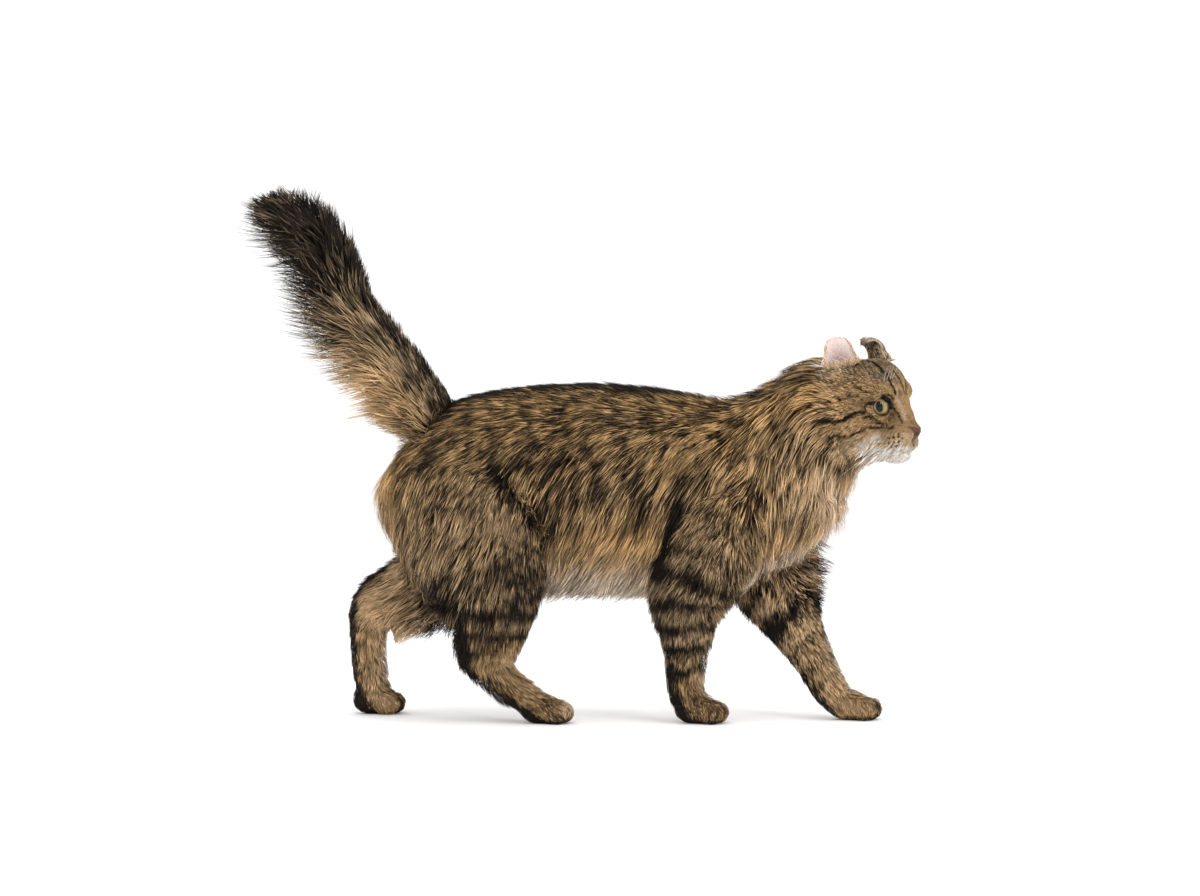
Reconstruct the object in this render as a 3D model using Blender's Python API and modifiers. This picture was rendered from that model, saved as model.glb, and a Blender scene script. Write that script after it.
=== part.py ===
"""Curled-ear longhair cat, walking, as a still, life-size model.

X runs forwards, Y to the cat's left and Z up, in metres, with the floor at Z = 0.
The whole body is modelled once, as tubes round the spine, tail and legs, a head and four paws.
The long coat is added as flat locks, and thin cuts then part the body into its named nodes.
"""

import math
import random

import bmesh
import bpy
import numpy as np
from mathutils import Matrix, Vector
from mathutils.bvhtree import BVHTree

MM = 0.001
GAP = 0.3 * MM
SEED = 11

# The share of the coat's depth that the smooth body takes up, under the locks and where the
# coat is short. The legs turn bare of locks over one station round the one named here.
CORE_SHARE = 0.5
SHORT_COAT_SHARE = 0.95
SHORT_COAT_FROM = {"foreleg_right": 3.4, "foreleg_left": 3.2, "hindleg_right": 5.0, "hindleg_left": 5.6}
BODY_VOXEL = 2.4 * MM
BODY_TRIANGLES = 2300
HEAD_TRIANGLES = 1100
TUBE_SIDES = 18
RINGS_PER_ROW = 3

# Each row of a tube, in millimetres: centre x, y, z, the skin's radius on the upper or front
# side and across, then the coat's depth on the upper or front side and on the side opposite.
TRUNK = [
    (-152, 0, 216, 16, 18, 14, 22),
    (-138, 0, 206, 46, 36, 10, 26),
    (-112, 0, 201, 61, 46, 9, 28),
    (-75, 0, 202, 69, 51, 9, 30),
    (-30, 0, 203, 73, 54, 9, 31),
    (20, 0, 203, 74, 55, 9, 31),
    (62, 0, 199, 73, 51, 9, 30),
    (98, 0, 194, 70, 47, 10, 28),
    (130, 0, 194, 68, 43, 11, 28),
    (158, 0, 188, 55, 37, 13, 26),
    (178, 0, 176, 36, 27, 16, 24),
    (190, 0, 170, 14, 13, 18, 22),
]
NECK = [
    (118, 0, 204, 56, 42, 10, 28),
    (152, 0, 220, 50, 41, 12, 32),
    (182, -1, 239, 44, 39, 13, 30),
    (203, -2, 259, 39, 37, 14, 22),
    (219, -3, 270, 34, 33, 13, 13),
    (234, -5, 275, 24, 26, 9, 8),
]
TAIL = [
    (-122, 0, 246, 17, 16, 18, 9),
    (-134, 0, 265, 14, 13, 30, 10),
    (-150, 0, 290, 11, 11, 40, 12),
    (-170, 0, 315, 9.5, 9.5, 45, 13),
    (-189, 0, 340, 8.5, 8.5, 46, 14),
    (-202, 0, 364, 8, 8, 44, 16),
    (-212, 0, 388, 7, 7, 42, 20),
    (-224, 0, 406, 6.5, 6.5, 40, 24),
    (-240, 0, 422, 6, 6, 36, 28),
    (-254, 0, 431, 4.5, 4.5, 28, 26),
    (-266, 0, 438, 3, 3, 16, 16),
    (-272, 0, 441, 1.5, 1.5, 5, 5),
]
FORELEG_RIGHT = [
    (118, -30, 186, 26, 14, 12, 14),
    (108, -36, 160, 31, 18, 12, 16),
    (96, -40, 130, 29, 19, 12, 18),
    (86, -41, 106, 23, 17, 10, 16),
    (84.5, -42, 84, 18.5, 15, 6, 9),
    (83.5, -42, 62, 15.5, 13, 5, 6),
    (82.5, -42, 42, 13, 12, 4.5, 5),
    (83, -42, 28, 12.5, 12.5, 4, 4),
    (86, -42, 17, 12, 13, 3, 3),
    (88, -42, 10, 9, 11, 2, 2),
]
FORELEG_LEFT = [
    (148, 30, 182, 26, 14, 16, 14),
    (152, 33, 156, 31, 18, 21, 16),
    (156, 30, 128, 28, 18, 23, 18),
    (164, 22, 106, 23, 17, 19, 14),
    (175, 12, 84, 18.5, 15, 6, 9),
    (187, 2, 61, 15.5, 13, 5, 6),
    (198, -6, 40, 13, 12, 4.5, 5),
    (205, -9, 27, 12.5, 12.5, 4, 4),
    (211, -10, 17, 12, 13, 3, 3),
    (214, -10, 10, 9, 11, 2, 2),
]
HINDLEG_RIGHT = [
    (-118, -28, 214, 34, 14, 9, 20),
    (-106, -36, 188, 46, 20, 9, 24),
    (-92, -42, 158, 47, 24, 10, 28),
    (-80, -45, 130, 39, 22, 10, 26),
    (-76, -45, 106, 31, 18, 9, 22),
    (-78, -44, 86, 26, 15, 9, 16),
    (-80, -43, 70, 20.5, 12.5, 9, 14),
    (-82, -42, 56, 16, 11, 6, 8),
    (-74, -42, 41, 12.5, 11, 4.5, 5),
    (-58, -42, 26, 11.5, 12, 4, 4),
    (-46, -42, 17, 11, 13, 3, 3),
    (-40, -42, 12, 8, 11, 2, 2),
]
HINDLEG_LEFT = [
    (-118, 28, 214, 34, 14, 9, 20),
    (-112, 36, 188, 46, 20, 9, 24),
    (-110, 42, 158, 45, 23, 10, 26),
    (-116, 45, 132, 36, 21, 10, 22),
    (-134, 46, 114, 28, 17, 19, 16),
    (-157, 46, 104, 21, 13.5, 22, 12),
    (-176, 45.5, 98, 16.5, 11.5, 10, 10),
    (-187, 45, 86, 13.5, 10.5, 6, 7),
    (-189.5, 45, 70, 12, 10.5, 5, 5),
    (-189, 45, 50, 12, 11, 4.5, 4.5),
    (-187, 45, 30, 11.5, 12, 4, 4),
    (-183, 45, 18, 11, 13, 3, 3),
    (-179, 45, 11, 8.5, 11.5, 2, 2),
]
TUBES = {
    "trunk": TRUNK,
    "neck": NECK,
    "tail": TAIL,
    "foreleg_right": FORELEG_RIGHT,
    "foreleg_left": FORELEG_LEFT,
    "hindleg_right": HINDLEG_RIGHT,
    "hindleg_left": HINDLEG_LEFT,
}

# Each paw's middle at the heel of the toes, x and y in millimetres, and its heading in degrees.
PAWS = {
    "foreleg_right": (92, -42, -2),
    "foreleg_left": (223, -10, -4),
    "hindleg_right": (-37, -42, -2),
    "hindleg_left": (-184, 45, 2),
}
PALM_RADII = (19, 15.5, 13)
PALM_HEIGHT = 11.5
TOE_RADII = (12, 6.6, 10)
TOE_HEIGHT = 9.5
TOE_OFFSETS = ((12, -13), (16.5, -4.6), (16.5, 4.6), (12, 13))

# The head's own frame has its origin at the tip of the nose, x forwards and y to its left.
NOSE_TIP = Vector((280, -40, 242)) * MM
HEAD_YAW = math.radians(-31)
# The masses of the head, as ellipsoids that blend into one another: centre x, y, z and radii.
# One whose y isn't 0 is there on each side.
SKULL = [
    (-66, 0, 30, 36, 32, 33),
    (-42, 0, 37, 27, 25, 27),
    (-52, 14, 41, 24, 20, 22),
    (-58, 20, 4, 27, 19, 22),
    (-44, 0, -7, 32, 24, 15),
    (-20, 0, 3, 15, 13, 12),
    (-7.5, 0, 2, 7.5, 7, 6.5),
    (-14.5, 0, 13, 8, 8, 10),
    (-21, 0, 25, 10, 11, 11),
    (-14.5, 8.5, -7, 11, 10, 8.5),
    (-20, 0, -17.5, 11, 10, 7.5),
    (-31.5, 19, 22, 11.4, 11.4, 11.4),
    (-24.5, 13, 36, 10, 10, 9),
    (-37, 19, 8, 15, 11, 11),
    (-60, 30, 46, 16, 9, 15),
]
SKULL_BLEND = 2.0
SKULL_CENTRE = np.array((-42, 0, 16))

EYE_RADIUS = 10.5
EYE_CENTRE = Vector((-31.5, -19, 22))
EYE_GAZE = Vector((0.9, -0.43, 0.06)).normalized()
LID_HALF_WIDTH = 9.8
LID_HALF_HEIGHT = 7.6
LID_TILT = math.radians(14)
LID_BEVEL = 1.3
LID_POINTS = 12

# The line of the mouth on one side, before it is laid on the surface of the head.
MOUTH_LINE = [(-1, 0, -5), (-2, 0, -9), (-5, 4, -13.5), (-12, 11, -15.5), (-21, 17, -14), (-30, 21, -10)]
MOUTH_GROOVE = 0.9
NOSE_LEATHER_DEPTH = 6.0
NOSTRIL_RADIUS = 1.4

EAR_BASE = Vector((-57, -33, 53.5))
EAR_FACING = Vector((0.5, -0.84, 0.05)).normalized()
EAR_RISE = Vector((0.0, -0.3, 0.95)).normalized()
EAR_LENGTH = 45
EAR_HALF_WIDTH = 13.5
EAR_STRAIGHT = 0.63
EAR_CURL_RADIUS = 7.8
EAR_CUP = 7
EAR_DOME = 4
EAR_FOOT = 10
EAR_THICKNESS = 1.7
EAR_ROOT = 8

# The thin cuts. Each node is the part of the body on the inner side of its planes, in this
# order, and the torso is what is left. A plane is a point in millimetres and its outward normal.
RIGHT_OF_MIDLINE = ((0, -9, 0), (0, 1, 0))
LEFT_OF_MIDLINE = ((0, 9, 0), (0, -1, 0))
ELBOW_RIGHT = ((84, 0, 94), (0, 0, 1))
ELBOW_LEFT = ((168, 0, 96), (0.1, 0, 1))
BETWEEN_FORELEGS = ((134, 0, 85), (0.996, 0, -0.09))
HOCK_RIGHT = ((-80, 0, 88), (0, 0, 1))
HOCK_LEFT = ((-168, 0, 105), (1, 0, 0.2))
GROIN = ((-44, 0, 158), (0.974, 0, 0.2275))
CUTS = {
    "head": [((213, -2, 257), (-0.89, 0.22, -0.387))],
    "neck": [((165, 0, 200), (-0.871, 0, -0.492))],
    "tail_end": [((-190, 0, 343), (0.48, 0, -0.88))],
    "tail_base": [((-138, 0, 254), (0.6, 0, -0.8))],
    "forepaw_right": [RIGHT_OF_MIDLINE, BETWEEN_FORELEGS, ((84, 0, 24), (0, 0, 1)), ((40, 0, 0), (-1, 0, 0))],
    "forepaw_left": [((207, 0, 23), (-0.35, 0, 0.94)), ((190, 0, 0), (-1, 0, 0))],
    "hindpaw_right": [RIGHT_OF_MIDLINE, ((-52, 0, 20), (-0.8, 0, 0.6)), ((20, 0, 0), (1, 0, 0))],
    "hindpaw_left": [LEFT_OF_MIDLINE, ((-184, 0, 24), (0, 0, 1)), ((-120, 0, 0), (1, 0, 0))],
    "foreleg_lower_right": [RIGHT_OF_MIDLINE, BETWEEN_FORELEGS, ELBOW_RIGHT, ((40, 0, 0), (-1, 0, 0))],
    "foreleg_lower_left": [ELBOW_LEFT, ((136, 0, 85), (-0.996, 0, 0.09))],
    "hindleg_lower_right": [RIGHT_OF_MIDLINE, HOCK_RIGHT, ((20, 0, 0), (1, 0, 0))],
    "hindleg_lower_left": [LEFT_OF_MIDLINE, HOCK_LEFT],
    "foreleg_upper_right": [
        RIGHT_OF_MIDLINE,
        BETWEEN_FORELEGS,
        ((0, -37, 147), (0, 0.838, 0.546)),
        ((76, 0, 153), (-0.94, 0, 0.336)),
    ],
    "foreleg_upper_left": [LEFT_OF_MIDLINE, ((0, 37, 147), (0, -0.838, 0.546)), ((112, 0, 140), (-1, 0, 0))],
    "hindleg_upper_right": [RIGHT_OF_MIDLINE, GROIN, ((0, -42, 161), (0, 0.88, 0.476))],
    "hindleg_upper_left": [LEFT_OF_MIDLINE, GROIN, ((0, 42, 161), (0, -0.88, 0.476))],
}
NOSE_PLANES = [
    ((-NOSE_LEATHER_DEPTH, 0, 0), (-1, 0, 0)),
    ((0, 0, -5), (0, 0, -1)),
    ((0, 0, 3.5), (0.35, 0, 1)),
    ((0, 7, 2), (0, 0.87, -0.5)),
    ((0, -7, 2), (0, -0.87, -0.5)),
]

# The long coat, in tiers of flat locks round the tubes: first and last place along the tube as
# shares of its length, tiers, first and last angle in degrees, locks in a tier, length and width
# in millimetres, and how closely the free part follows the body, from 0 to 1.
COAT = [
    ("neck", 0.93, 0.3, 3, 0, 360, 8, 58, 38, 0.8),
    ("trunk", 0.93, 0.08, 6, 0, 360, 10, 74, 43, 0.9),
    ("hindleg_right", 0.08, 0.38, 3, -30, -190, 3, 60, 44, 0.7),
    ("hindleg_left", 0.08, 0.33, 3, 30, 190, 3, 56, 44, 0.7),
    ("foreleg_right", 0.12, 0.34, 2, -50, -200, 3, 46, 32, 0.8),
    ("foreleg_left", 0.12, 0.26, 2, 50, 200, 3, 40, 30, 0.8),
    ("tail", 0.05, 0.66, 6, 0, 360, 5, 62, 36, 0.1),
    ("tail", 0.76, 0.84, 2, 0, 360, 4, 33, 32, 0.3),
]
# Tufts that fan out from a point: centre, headings from forwards and pitches in degrees, the
# way their hair lies, the coat's depth, and length and width in millimetres.
FANS = [
    ((-128, 0, 210), (118, 160, 200, 242), (18, -10, -36), (-0.35, 0, -1), 4, 50, 40),
    ((150, 0, 178), (-48, 0, 48), (12, -12, -36), (-0.1, 0, -1), 26, 48, 38),
]
# Which way the hair lies on each tube: along it, backwards and down.
LIE = {
    "neck": (-0.8, 0.2, 0.7),
    "trunk": (-1.0, 0.0, 0.5),
    "hindleg_right": (1.0, 0.5, 0.0),
    "hindleg_left": (1.0, 0.5, 0.0),
    "foreleg_right": (1.0, 0.2, 0.0),
    "foreleg_left": (1.0, 0.2, 0.0),
    "tail": (1.0, 0.0, 0.0),
}
# Places along a lock from root to tip, with its width and thickness there.
LOCK_STEPS = (0.0, 0.36, 0.72)
LOCK_WIDTHS = (0.62, 1.0, 0.74)
LOCK_THICKNESS = (4.4, 4.0, 2.6)
LOCK_SINK = 3.0
LOCK_RISE = 0.45
LOCK_CLEARANCE = 0.6
CHEEK_LOCKS = [(-66, 31, 22), (-68, 34, 6), (-62, 31, -10), (-50, 24, -20), (-38, 10, -24)]
CHEEK_LOCK_SIZE = (34, 22)
CHEEK_LIE = (-0.8, 0.25, -0.5)
CHEEK_LIFT = 6
# The tries for a lock that would touch another node: its size as a share, how far its root
# moves along the lie, and how far it is raised, in millimetres. The last one that fails is left out.
LOCK_TRIES = [(1, 0, 0), (1, 0, 3), (0.8, 6, 2), (0.65, 10, 2), (0.5, 14, 1), (0.45, 0, 2)]
LEAST_WIDTH_SHARE = 0.6

COLOURS = {
    "coat_tabby": (0.30, 0.22, 0.14),
    "coat_dark": (0.13, 0.10, 0.08),
    "coat_cream": (0.62, 0.50, 0.38),
    "ear": (0.72, 0.58, 0.52),
    "eye": (0.55, 0.42, 0.12),
    "nose": (0.32, 0.15, 0.12),
}


def clear_scene():
    for obj in list(bpy.data.objects):
        bpy.data.objects.remove(obj)
    for collection in list(bpy.data.collections):
        bpy.data.collections.remove(collection)


def new_collection(name):
    collection = bpy.data.collections.new(name)
    bpy.context.scene.collection.children.link(collection)
    return collection


def new_object(name, mesh, collection):
    obj = bpy.data.objects.new(name, mesh)
    collection.objects.link(obj)
    return obj


def mesh_from_bmesh(name, bm):
    mesh = bpy.data.meshes.new(name)
    bm.to_mesh(mesh)
    bm.free()
    return mesh


def bake(obj):
    """Replaces the object's mesh by its evaluated one and drops its modifiers."""
    graph = bpy.context.evaluated_depsgraph_get()
    graph.update()
    mesh = bpy.data.meshes.new_from_object(obj.evaluated_get(graph))
    obj.modifiers.clear()
    obj.data = mesh


def row_at(rows, s):
    """The tube's row at station s, on a Catmull-Rom curve through the rows."""
    last = len(rows) - 1
    s = min(max(s, 0.0), float(last))
    i = min(int(s), last - 1)
    t = s - i
    p0, p1, p2, p3 = (np.array(rows[min(max(k, 0), last)], float) for k in (i - 1, i, i + 1, i + 2))
    square = 2 * p0 - 5 * p1 + 4 * p2 - p3
    cube = 3 * p1 - p0 - 3 * p2 + p3
    return 0.5 * (2 * p1 + (p2 - p0) * t + square * t**2 + cube * t**3) * MM


def tube_frame(rows, s):
    """Centre, tangent, upper or front direction and left direction of a tube at station s."""
    ahead, behind = row_at(rows, s + 0.05), row_at(rows, s - 0.05)
    tangent = Vector(ahead[:3] - behind[:3]).normalized()
    left = Vector((0, 1, 0))
    left = (left - left.dot(tangent) * tangent).normalized()
    return Vector(row_at(rows, s)[:3]), tangent, tangent.cross(left), left


def coat_depth(row, angle):
    """Depth of the coat at an angle from the tube's upper or front side."""
    return row[5] + (row[6] - row[5]) * (1 - math.cos(angle)) / 2


def core_share(tube, s):
    short = min(max(s - SHORT_COAT_FROM.get(tube, 99) + 0.5, 0.0), 1.0)
    return CORE_SHARE + (SHORT_COAT_SHARE - CORE_SHARE) * short


def tube_point(rows, s, angle, share):
    """A point at that share of the coat's depth, round the tube."""
    row = row_at(rows, s)
    centre, _, upper, left = tube_frame(rows, s)
    reach = upper * (math.cos(angle) * row[3]) + left * (math.sin(angle) * row[4])
    return centre + reach + reach.normalized() * (share * coat_depth(row, angle))


def add_tube(bm, tube):
    """A closed loft through the tube's sections, at the depth of the smooth body."""
    rows = TUBES[tube]
    count = (len(rows) - 1) * RINGS_PER_ROW + 1
    rings = []
    for k in range(count):
        s = k / RINGS_PER_ROW
        angles = (2 * math.pi * n / TUBE_SIDES for n in range(TUBE_SIDES))
        rings.append([bm.verts.new(tube_point(rows, s, a, core_share(tube, s))) for a in angles])
    for first, second in zip(rings, rings[1:]):
        for n in range(TUBE_SIDES):
            m = (n + 1) % TUBE_SIDES
            bm.faces.new((first[n], first[m], second[m], second[n]))
    bm.faces.new(rings[0][::-1])
    bm.faces.new(rings[-1])


def add_ellipsoid(bm, centre, radii, turn=None):
    """An ellipsoid whose sizes are in metres, turned by a rotation matrix."""
    place = Matrix.Translation(centre) @ (turn or Matrix.Identity(4)) @ Matrix.Diagonal((*radii, 1))
    bmesh.ops.create_uvsphere(bm, u_segments=20, v_segments=14, radius=1, matrix=place)


def head_matrix():
    return Matrix.Translation(NOSE_TIP) @ Matrix.Rotation(HEAD_YAW, 4, "Z")


def mirrored(vector, side):
    """The vector of the right side of the head, or its mirror image for side 1."""
    return Vector((vector[0], vector[1] * -side, vector[2]))


def add_paw(bm, place):
    x, y, heading = place
    turn = Matrix.Rotation(math.radians(heading), 4, "Z")
    base = Vector((x, y, 0)) * MM
    palm = base + Vector((0, 0, PALM_HEIGHT)) * MM
    add_ellipsoid(bm, palm, Vector(PALM_RADII) * MM, turn)
    for forward, across in TOE_OFFSETS:
        toe = base + turn.to_3x3() @ Vector((forward, across, TOE_HEIGHT)) * MM
        add_ellipsoid(bm, toe, Vector(TOE_RADII) * MM, turn)


def decimated(obj, triangles):
    decimate = obj.modifiers.new("Decimate", "DECIMATE")
    decimate.ratio = triangles / sum(len(face.vertices) - 2 for face in obj.data.polygons)
    decimate.use_collapse_triangulate = True
    bake(obj)
    return obj


def remeshed(name, bm, voxel, smoothing, triangles, collection):
    """One smooth closed surface round all the shapes in bm, with about that many triangles."""
    bmesh.ops.recalc_face_normals(bm, faces=bm.faces)
    obj = new_object(name, mesh_from_bmesh(name, bm), collection)
    remesh = obj.modifiers.new("Remesh", "REMESH")
    remesh.mode = "VOXEL"
    remesh.voxel_size = voxel
    smooth = obj.modifiers.new("Smooth", "SMOOTH")
    smooth.factor = 0.5
    smooth.iterations = smoothing
    bake(obj)
    return decimated(obj, triangles)


def make_body(collection):
    bm = bmesh.new()
    for tube in TUBES:
        add_tube(bm, tube)
    for place in PAWS.values():
        add_paw(bm, place)
    return remeshed("body", bm, BODY_VOXEL, 10, BODY_TRIANGLES, collection)


def boolean(obj, other, operation):
    modifier = obj.modifiers.new("Boolean", "BOOLEAN")
    modifier.operation = operation
    modifier.solver = "MANIFOLD"
    if isinstance(other, bpy.types.Collection):
        modifier.operand_type = "COLLECTION"
        modifier.collection = other
    else:
        modifier.object = other
    bake(obj)


def keep_largest(obj):
    """Keeps only the largest closed surface of the mesh."""
    bm = bmesh.new()
    bm.from_mesh(obj.data)
    left, pieces = set(bm.verts), []
    while left:
        piece, edge = set(), [left.pop()]
        while edge:
            vert = edge.pop()
            piece.add(vert)
            near = {e.other_vert(vert) for e in vert.link_edges} & left
            left -= near
            edge.extend(near)
        pieces.append(piece)
    pieces.sort(key=len)
    loose = [vert for piece in pieces[:-1] for vert in piece]
    bmesh.ops.delete(bm, geom=loose, context="VERTS")
    bm.to_mesh(obj.data)
    bm.free()


def skull_distance(points):
    """About how far each point, in millimetres, lies outside the blended masses of the head."""
    total = np.zeros(len(points))
    for x, y, z, *radii in SKULL:
        for side in (-1, 1) if y else (1,):
            reach = (points - (x, y * side, z)) / radii
            size = np.linalg.norm(reach, axis=1)
            slope = np.linalg.norm(reach / radii, axis=1)
            total += np.exp(-size * (size - 1) / slope / SKULL_BLEND)
    return -SKULL_BLEND * np.log(total)


def on_skull(points):
    """Where the rays from the middle of the head through the points meet its surface."""
    rays = np.array(points, float) - SKULL_CENTRE
    rays /= np.linalg.norm(rays, axis=1)[:, None]
    reach = np.full((len(rays), 1), 100.0)
    for _ in range(60):
        reach[:, 0] -= 0.6 * skull_distance(SKULL_CENTRE + rays * reach)
    return [Vector(place) for place in SKULL_CENTRE + rays * reach]


def make_skull(collection):
    bm = bmesh.new()
    bmesh.ops.create_icosphere(bm, subdivisions=5, radius=1)
    for vert, place in zip(bm.verts, on_skull([vert.co + Vector(SKULL_CENTRE) for vert in bm.verts])):
        vert.co = place * MM
    skull = new_object("head_core", mesh_from_bmesh("head_core", bm), collection)
    return decimated(skull, HEAD_TRIANGLES)


def ball(name, centre, radii, collection, turn=None, sides=14):
    bm = bmesh.new()
    place = Matrix.Translation(centre) @ (turn or Matrix.Identity(4)) @ Matrix.Diagonal((*radii, 1))
    bmesh.ops.create_uvsphere(bm, u_segments=sides, v_segments=sides * 5 // 8, radius=1, matrix=place)
    return new_object(name, mesh_from_bmesh(name, bm), collection)


def eye_turn(side):
    """A rotation whose X is the eye's gaze, with the lids' slant about it."""
    gaze = mirrored(EYE_GAZE, side)
    return gaze.to_track_quat("X", "Z").to_matrix().to_4x4() @ Matrix.Rotation(-LID_TILT * side, 4, "X")


def tube_from_points(name, points, radius, collection, closed=False, sides=0):
    """A closed mesh tube along the points."""
    curve = bpy.data.curves.new(name, "CURVE")
    curve.dimensions = "3D"
    curve.bevel_depth = radius
    curve.bevel_resolution = sides
    curve.use_fill_caps = not closed
    spline = curve.splines.new("POLY")
    spline.points.add(len(points) - 1)
    for place, point in zip(spline.points, points):
        place.co = (*point, 1)
    spline.use_cyclic_u = closed
    guide = new_object(name + "_guide", curve, collection)
    bpy.context.view_layer.update()
    graph = bpy.context.evaluated_depsgraph_get()
    mesh = bpy.data.meshes.new_from_object(guide.evaluated_get(graph))
    bpy.data.objects.remove(guide)
    bm = bmesh.new()
    bm.from_mesh(mesh)
    bmesh.ops.remove_doubles(bm, verts=bm.verts, dist=0.01 * MM)
    bmesh.ops.recalc_face_normals(bm, faces=bm.faces)
    return new_object(name, mesh_from_bmesh(name, bm), collection)


def lid_ring(side):
    """Points round the opening of the lids, on the ball of the eye."""
    turn = eye_turn(side).to_3x3()
    centre = mirrored(EYE_CENTRE, side)
    points = []
    for k in range(LID_POINTS):
        angle = 2 * math.pi * k / LID_POINTS
        across = LID_HALF_WIDTH * math.cos(angle)
        up = LID_HALF_HEIGHT * math.sin(angle)
        out = math.sqrt(EYE_RADIUS**2 - min(across**2 + up**2, EYE_RADIUS**2 * 0.9))
        points.append((centre + turn @ Vector((out + 0.3, across, up))) * MM)
    return points


def shape_face(skull, collection):
    """Cuts the eye sockets and mouth, and adds the lids."""
    for side in (-1, 1):
        centre = mirrored(EYE_CENTRE, side)
        turn = eye_turn(side)
        opening = centre + turn.to_3x3() @ Vector((EYE_RADIUS, 0, 0))
        sizes = Vector((7.5, LID_HALF_WIDTH, LID_HALF_HEIGHT)) * MM
        cutter = ball("eye_opening", opening * MM, sizes, collection, turn)
        boolean(skull, cutter, "DIFFERENCE")
        bpy.data.objects.remove(cutter)
        lids = tube_from_points("lids", lid_ring(side), LID_BEVEL * MM, collection, closed=True, sides=1)
        boolean(skull, lids, "UNION")
        bpy.data.objects.remove(lids)
        socket = ball("socket", centre * MM, Vector((1, 1, 1)) * (EYE_RADIUS * MM + GAP), collection)
        boolean(skull, socket, "DIFFERENCE")
        bpy.data.objects.remove(socket)
        line = [point * MM for point in on_skull([(x, y * side, z) for x, y, z in MOUTH_LINE])]
        groove = tube_from_points("mouth", line, MOUTH_GROOVE * MM, collection)
        boolean(skull, groove, "DIFFERENCE")
        bpy.data.objects.remove(groove)


def ear_point(across, along, side):
    """A point of the ear's middle surface; across runs -1 to 1 and along 0 to 1."""
    facing = mirrored(EAR_FACING, side)
    rise = mirrored(EAR_RISE, side)
    up = (rise - facing * facing.dot(rise)).normalized()
    wide = facing.cross(up)
    length = EAR_LENGTH * along
    straight = EAR_LENGTH * EAR_STRAIGHT
    bend = max(0.0, length - straight) / EAR_CURL_RADIUS
    height = min(length, straight) + EAR_CURL_RADIUS * math.sin(bend)
    back = EAR_CURL_RADIUS * (1 - math.cos(bend))
    outline = max(0.0, along - 0.35) / 0.7
    belly = 0.86 + 0.14 * math.sin(math.pi * min(along / 0.6, 1.0))
    half = EAR_HALF_WIDTH * (1 - outline**2) ** 0.5 * belly
    height += (EAR_FOOT * max(0.0, 1 - along / 0.35) - EAR_DOME * min(along / 0.6, 1.0)) * across**2
    cup = EAR_CUP * (1 - along**2) * across**2
    outward = facing * math.cos(bend) + up * math.sin(bend)
    root = mirrored(EAR_BASE, side)
    return (root + up * (height - EAR_ROOT) - facing * back + wide * (half * across) + outward * cup) * MM


def make_ear(side, collection):
    bm = bmesh.new()
    columns, rows = 6, 8
    grid = [
        [bm.verts.new(ear_point(-1 + 2 * c / columns, r / rows, side)) for c in range(columns + 1)]
        for r in range(rows + 1)
    ]
    for lower, upper in zip(grid, grid[1:]):
        for c in range(columns):
            bm.faces.new((lower[c], lower[c + 1], upper[c + 1], upper[c]))
    name = "ear_left" if side == 1 else "ear_right"
    ear = new_object(name, mesh_from_bmesh(name, bm), collection)
    solid = ear.modifiers.new("Solidify", "SOLIDIFY")
    solid.thickness = EAR_THICKNESS * MM
    solid.offset = 0
    bake(ear)
    bm = bmesh.new()
    bm.from_mesh(ear.data)
    bmesh.ops.recalc_face_normals(bm, faces=bm.faces)
    bm.to_mesh(ear.data)
    bm.free()
    return ear


def grown_copy(obj, distance, collection):
    """A copy whose surface lies that far outside the object's."""
    bm = bmesh.new()
    bm.from_mesh(obj.data)
    bm.normal_update()
    moves = [(vert, vert.co + vert.normal * distance * 1.25) for vert in bm.verts]
    for vert, place in moves:
        vert.co = place
    return new_object(obj.name + "_cutter", mesh_from_bmesh(obj.name, bm), collection)


def station_at(rows, share):
    """The station that lies at a share of the tube's length."""
    centres = [np.array(row[:3], float) for row in rows]
    steps = [0.0] + [float(np.linalg.norm(b - a)) for a, b in zip(centres, centres[1:])]
    lengths = np.cumsum(steps)
    return float(np.interp(share * lengths[-1], lengths, range(len(rows))))


def lock_rings(surface, root, normal, lie, size, lift, cling):
    """Centre, direction and normal of the lock at each step and at its tip, above the surface."""
    length, _ = size
    place, rings, done = root, [], 0.0
    direction = (lie - lie.dot(normal) * normal).normalized()
    for step, thickness in zip((*LOCK_STEPS, 1.0), (*LOCK_THICKNESS, 1.0)):
        if step:
            place = place + direction * (length * (step - done))
            near, normal, _, _ = surface.find_nearest(place)
            height = (place - near).dot(normal)
            wanted = lift * step**LOCK_RISE + (thickness / 2 + LOCK_CLEARANCE) * MM
            height = wanted + max(0.0, height - wanted) * (1 - cling)
            side = (place - near) - normal * (place - near).dot(normal)
            place = near + side * (1 - cling) + normal * height
            direction = (lie - lie.dot(normal) * normal * cling).normalized()
            done = step
        rings.append((place, direction, normal))
    return rings


def lock_mesh(name, rings, size, extra):
    """A closed flat lock with a tapering, four-sided section, grown by the extra all round."""
    bm = bmesh.new()
    _, width = size
    loops = []
    for (centre, direction, normal), share, thickness in zip(rings, LOCK_WIDTHS, LOCK_THICKNESS):
        across = direction.cross(normal).normalized() * (width * share / 2 + extra)
        up = normal * (thickness * MM / 2 + extra)
        sunk = centre - normal * LOCK_SINK * MM if not loops else centre
        loops.append([bm.verts.new(sunk + reach) for reach in (-across, up, across, -up)])
    tip_place, direction, _ = rings[-1]
    tip = bm.verts.new(tip_place + direction * extra)
    for near, far in zip(loops, loops[1:]):
        for edge, ridge in ((0, 1), (2, 1), (2, 3), (0, 3)):
            bm.faces.new((near[edge], near[ridge], far[ridge]))
            bm.faces.new((near[edge], far[ridge], far[edge]))
    for first, second in zip(loops[-1], loops[-1][1:] + loops[-1][:1]):
        bm.faces.new((first, second, tip))
    bm.faces.new(loops[0][::-1])
    bmesh.ops.recalc_face_normals(bm, faces=bm.faces)
    return mesh_from_bmesh(name, bm)


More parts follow.
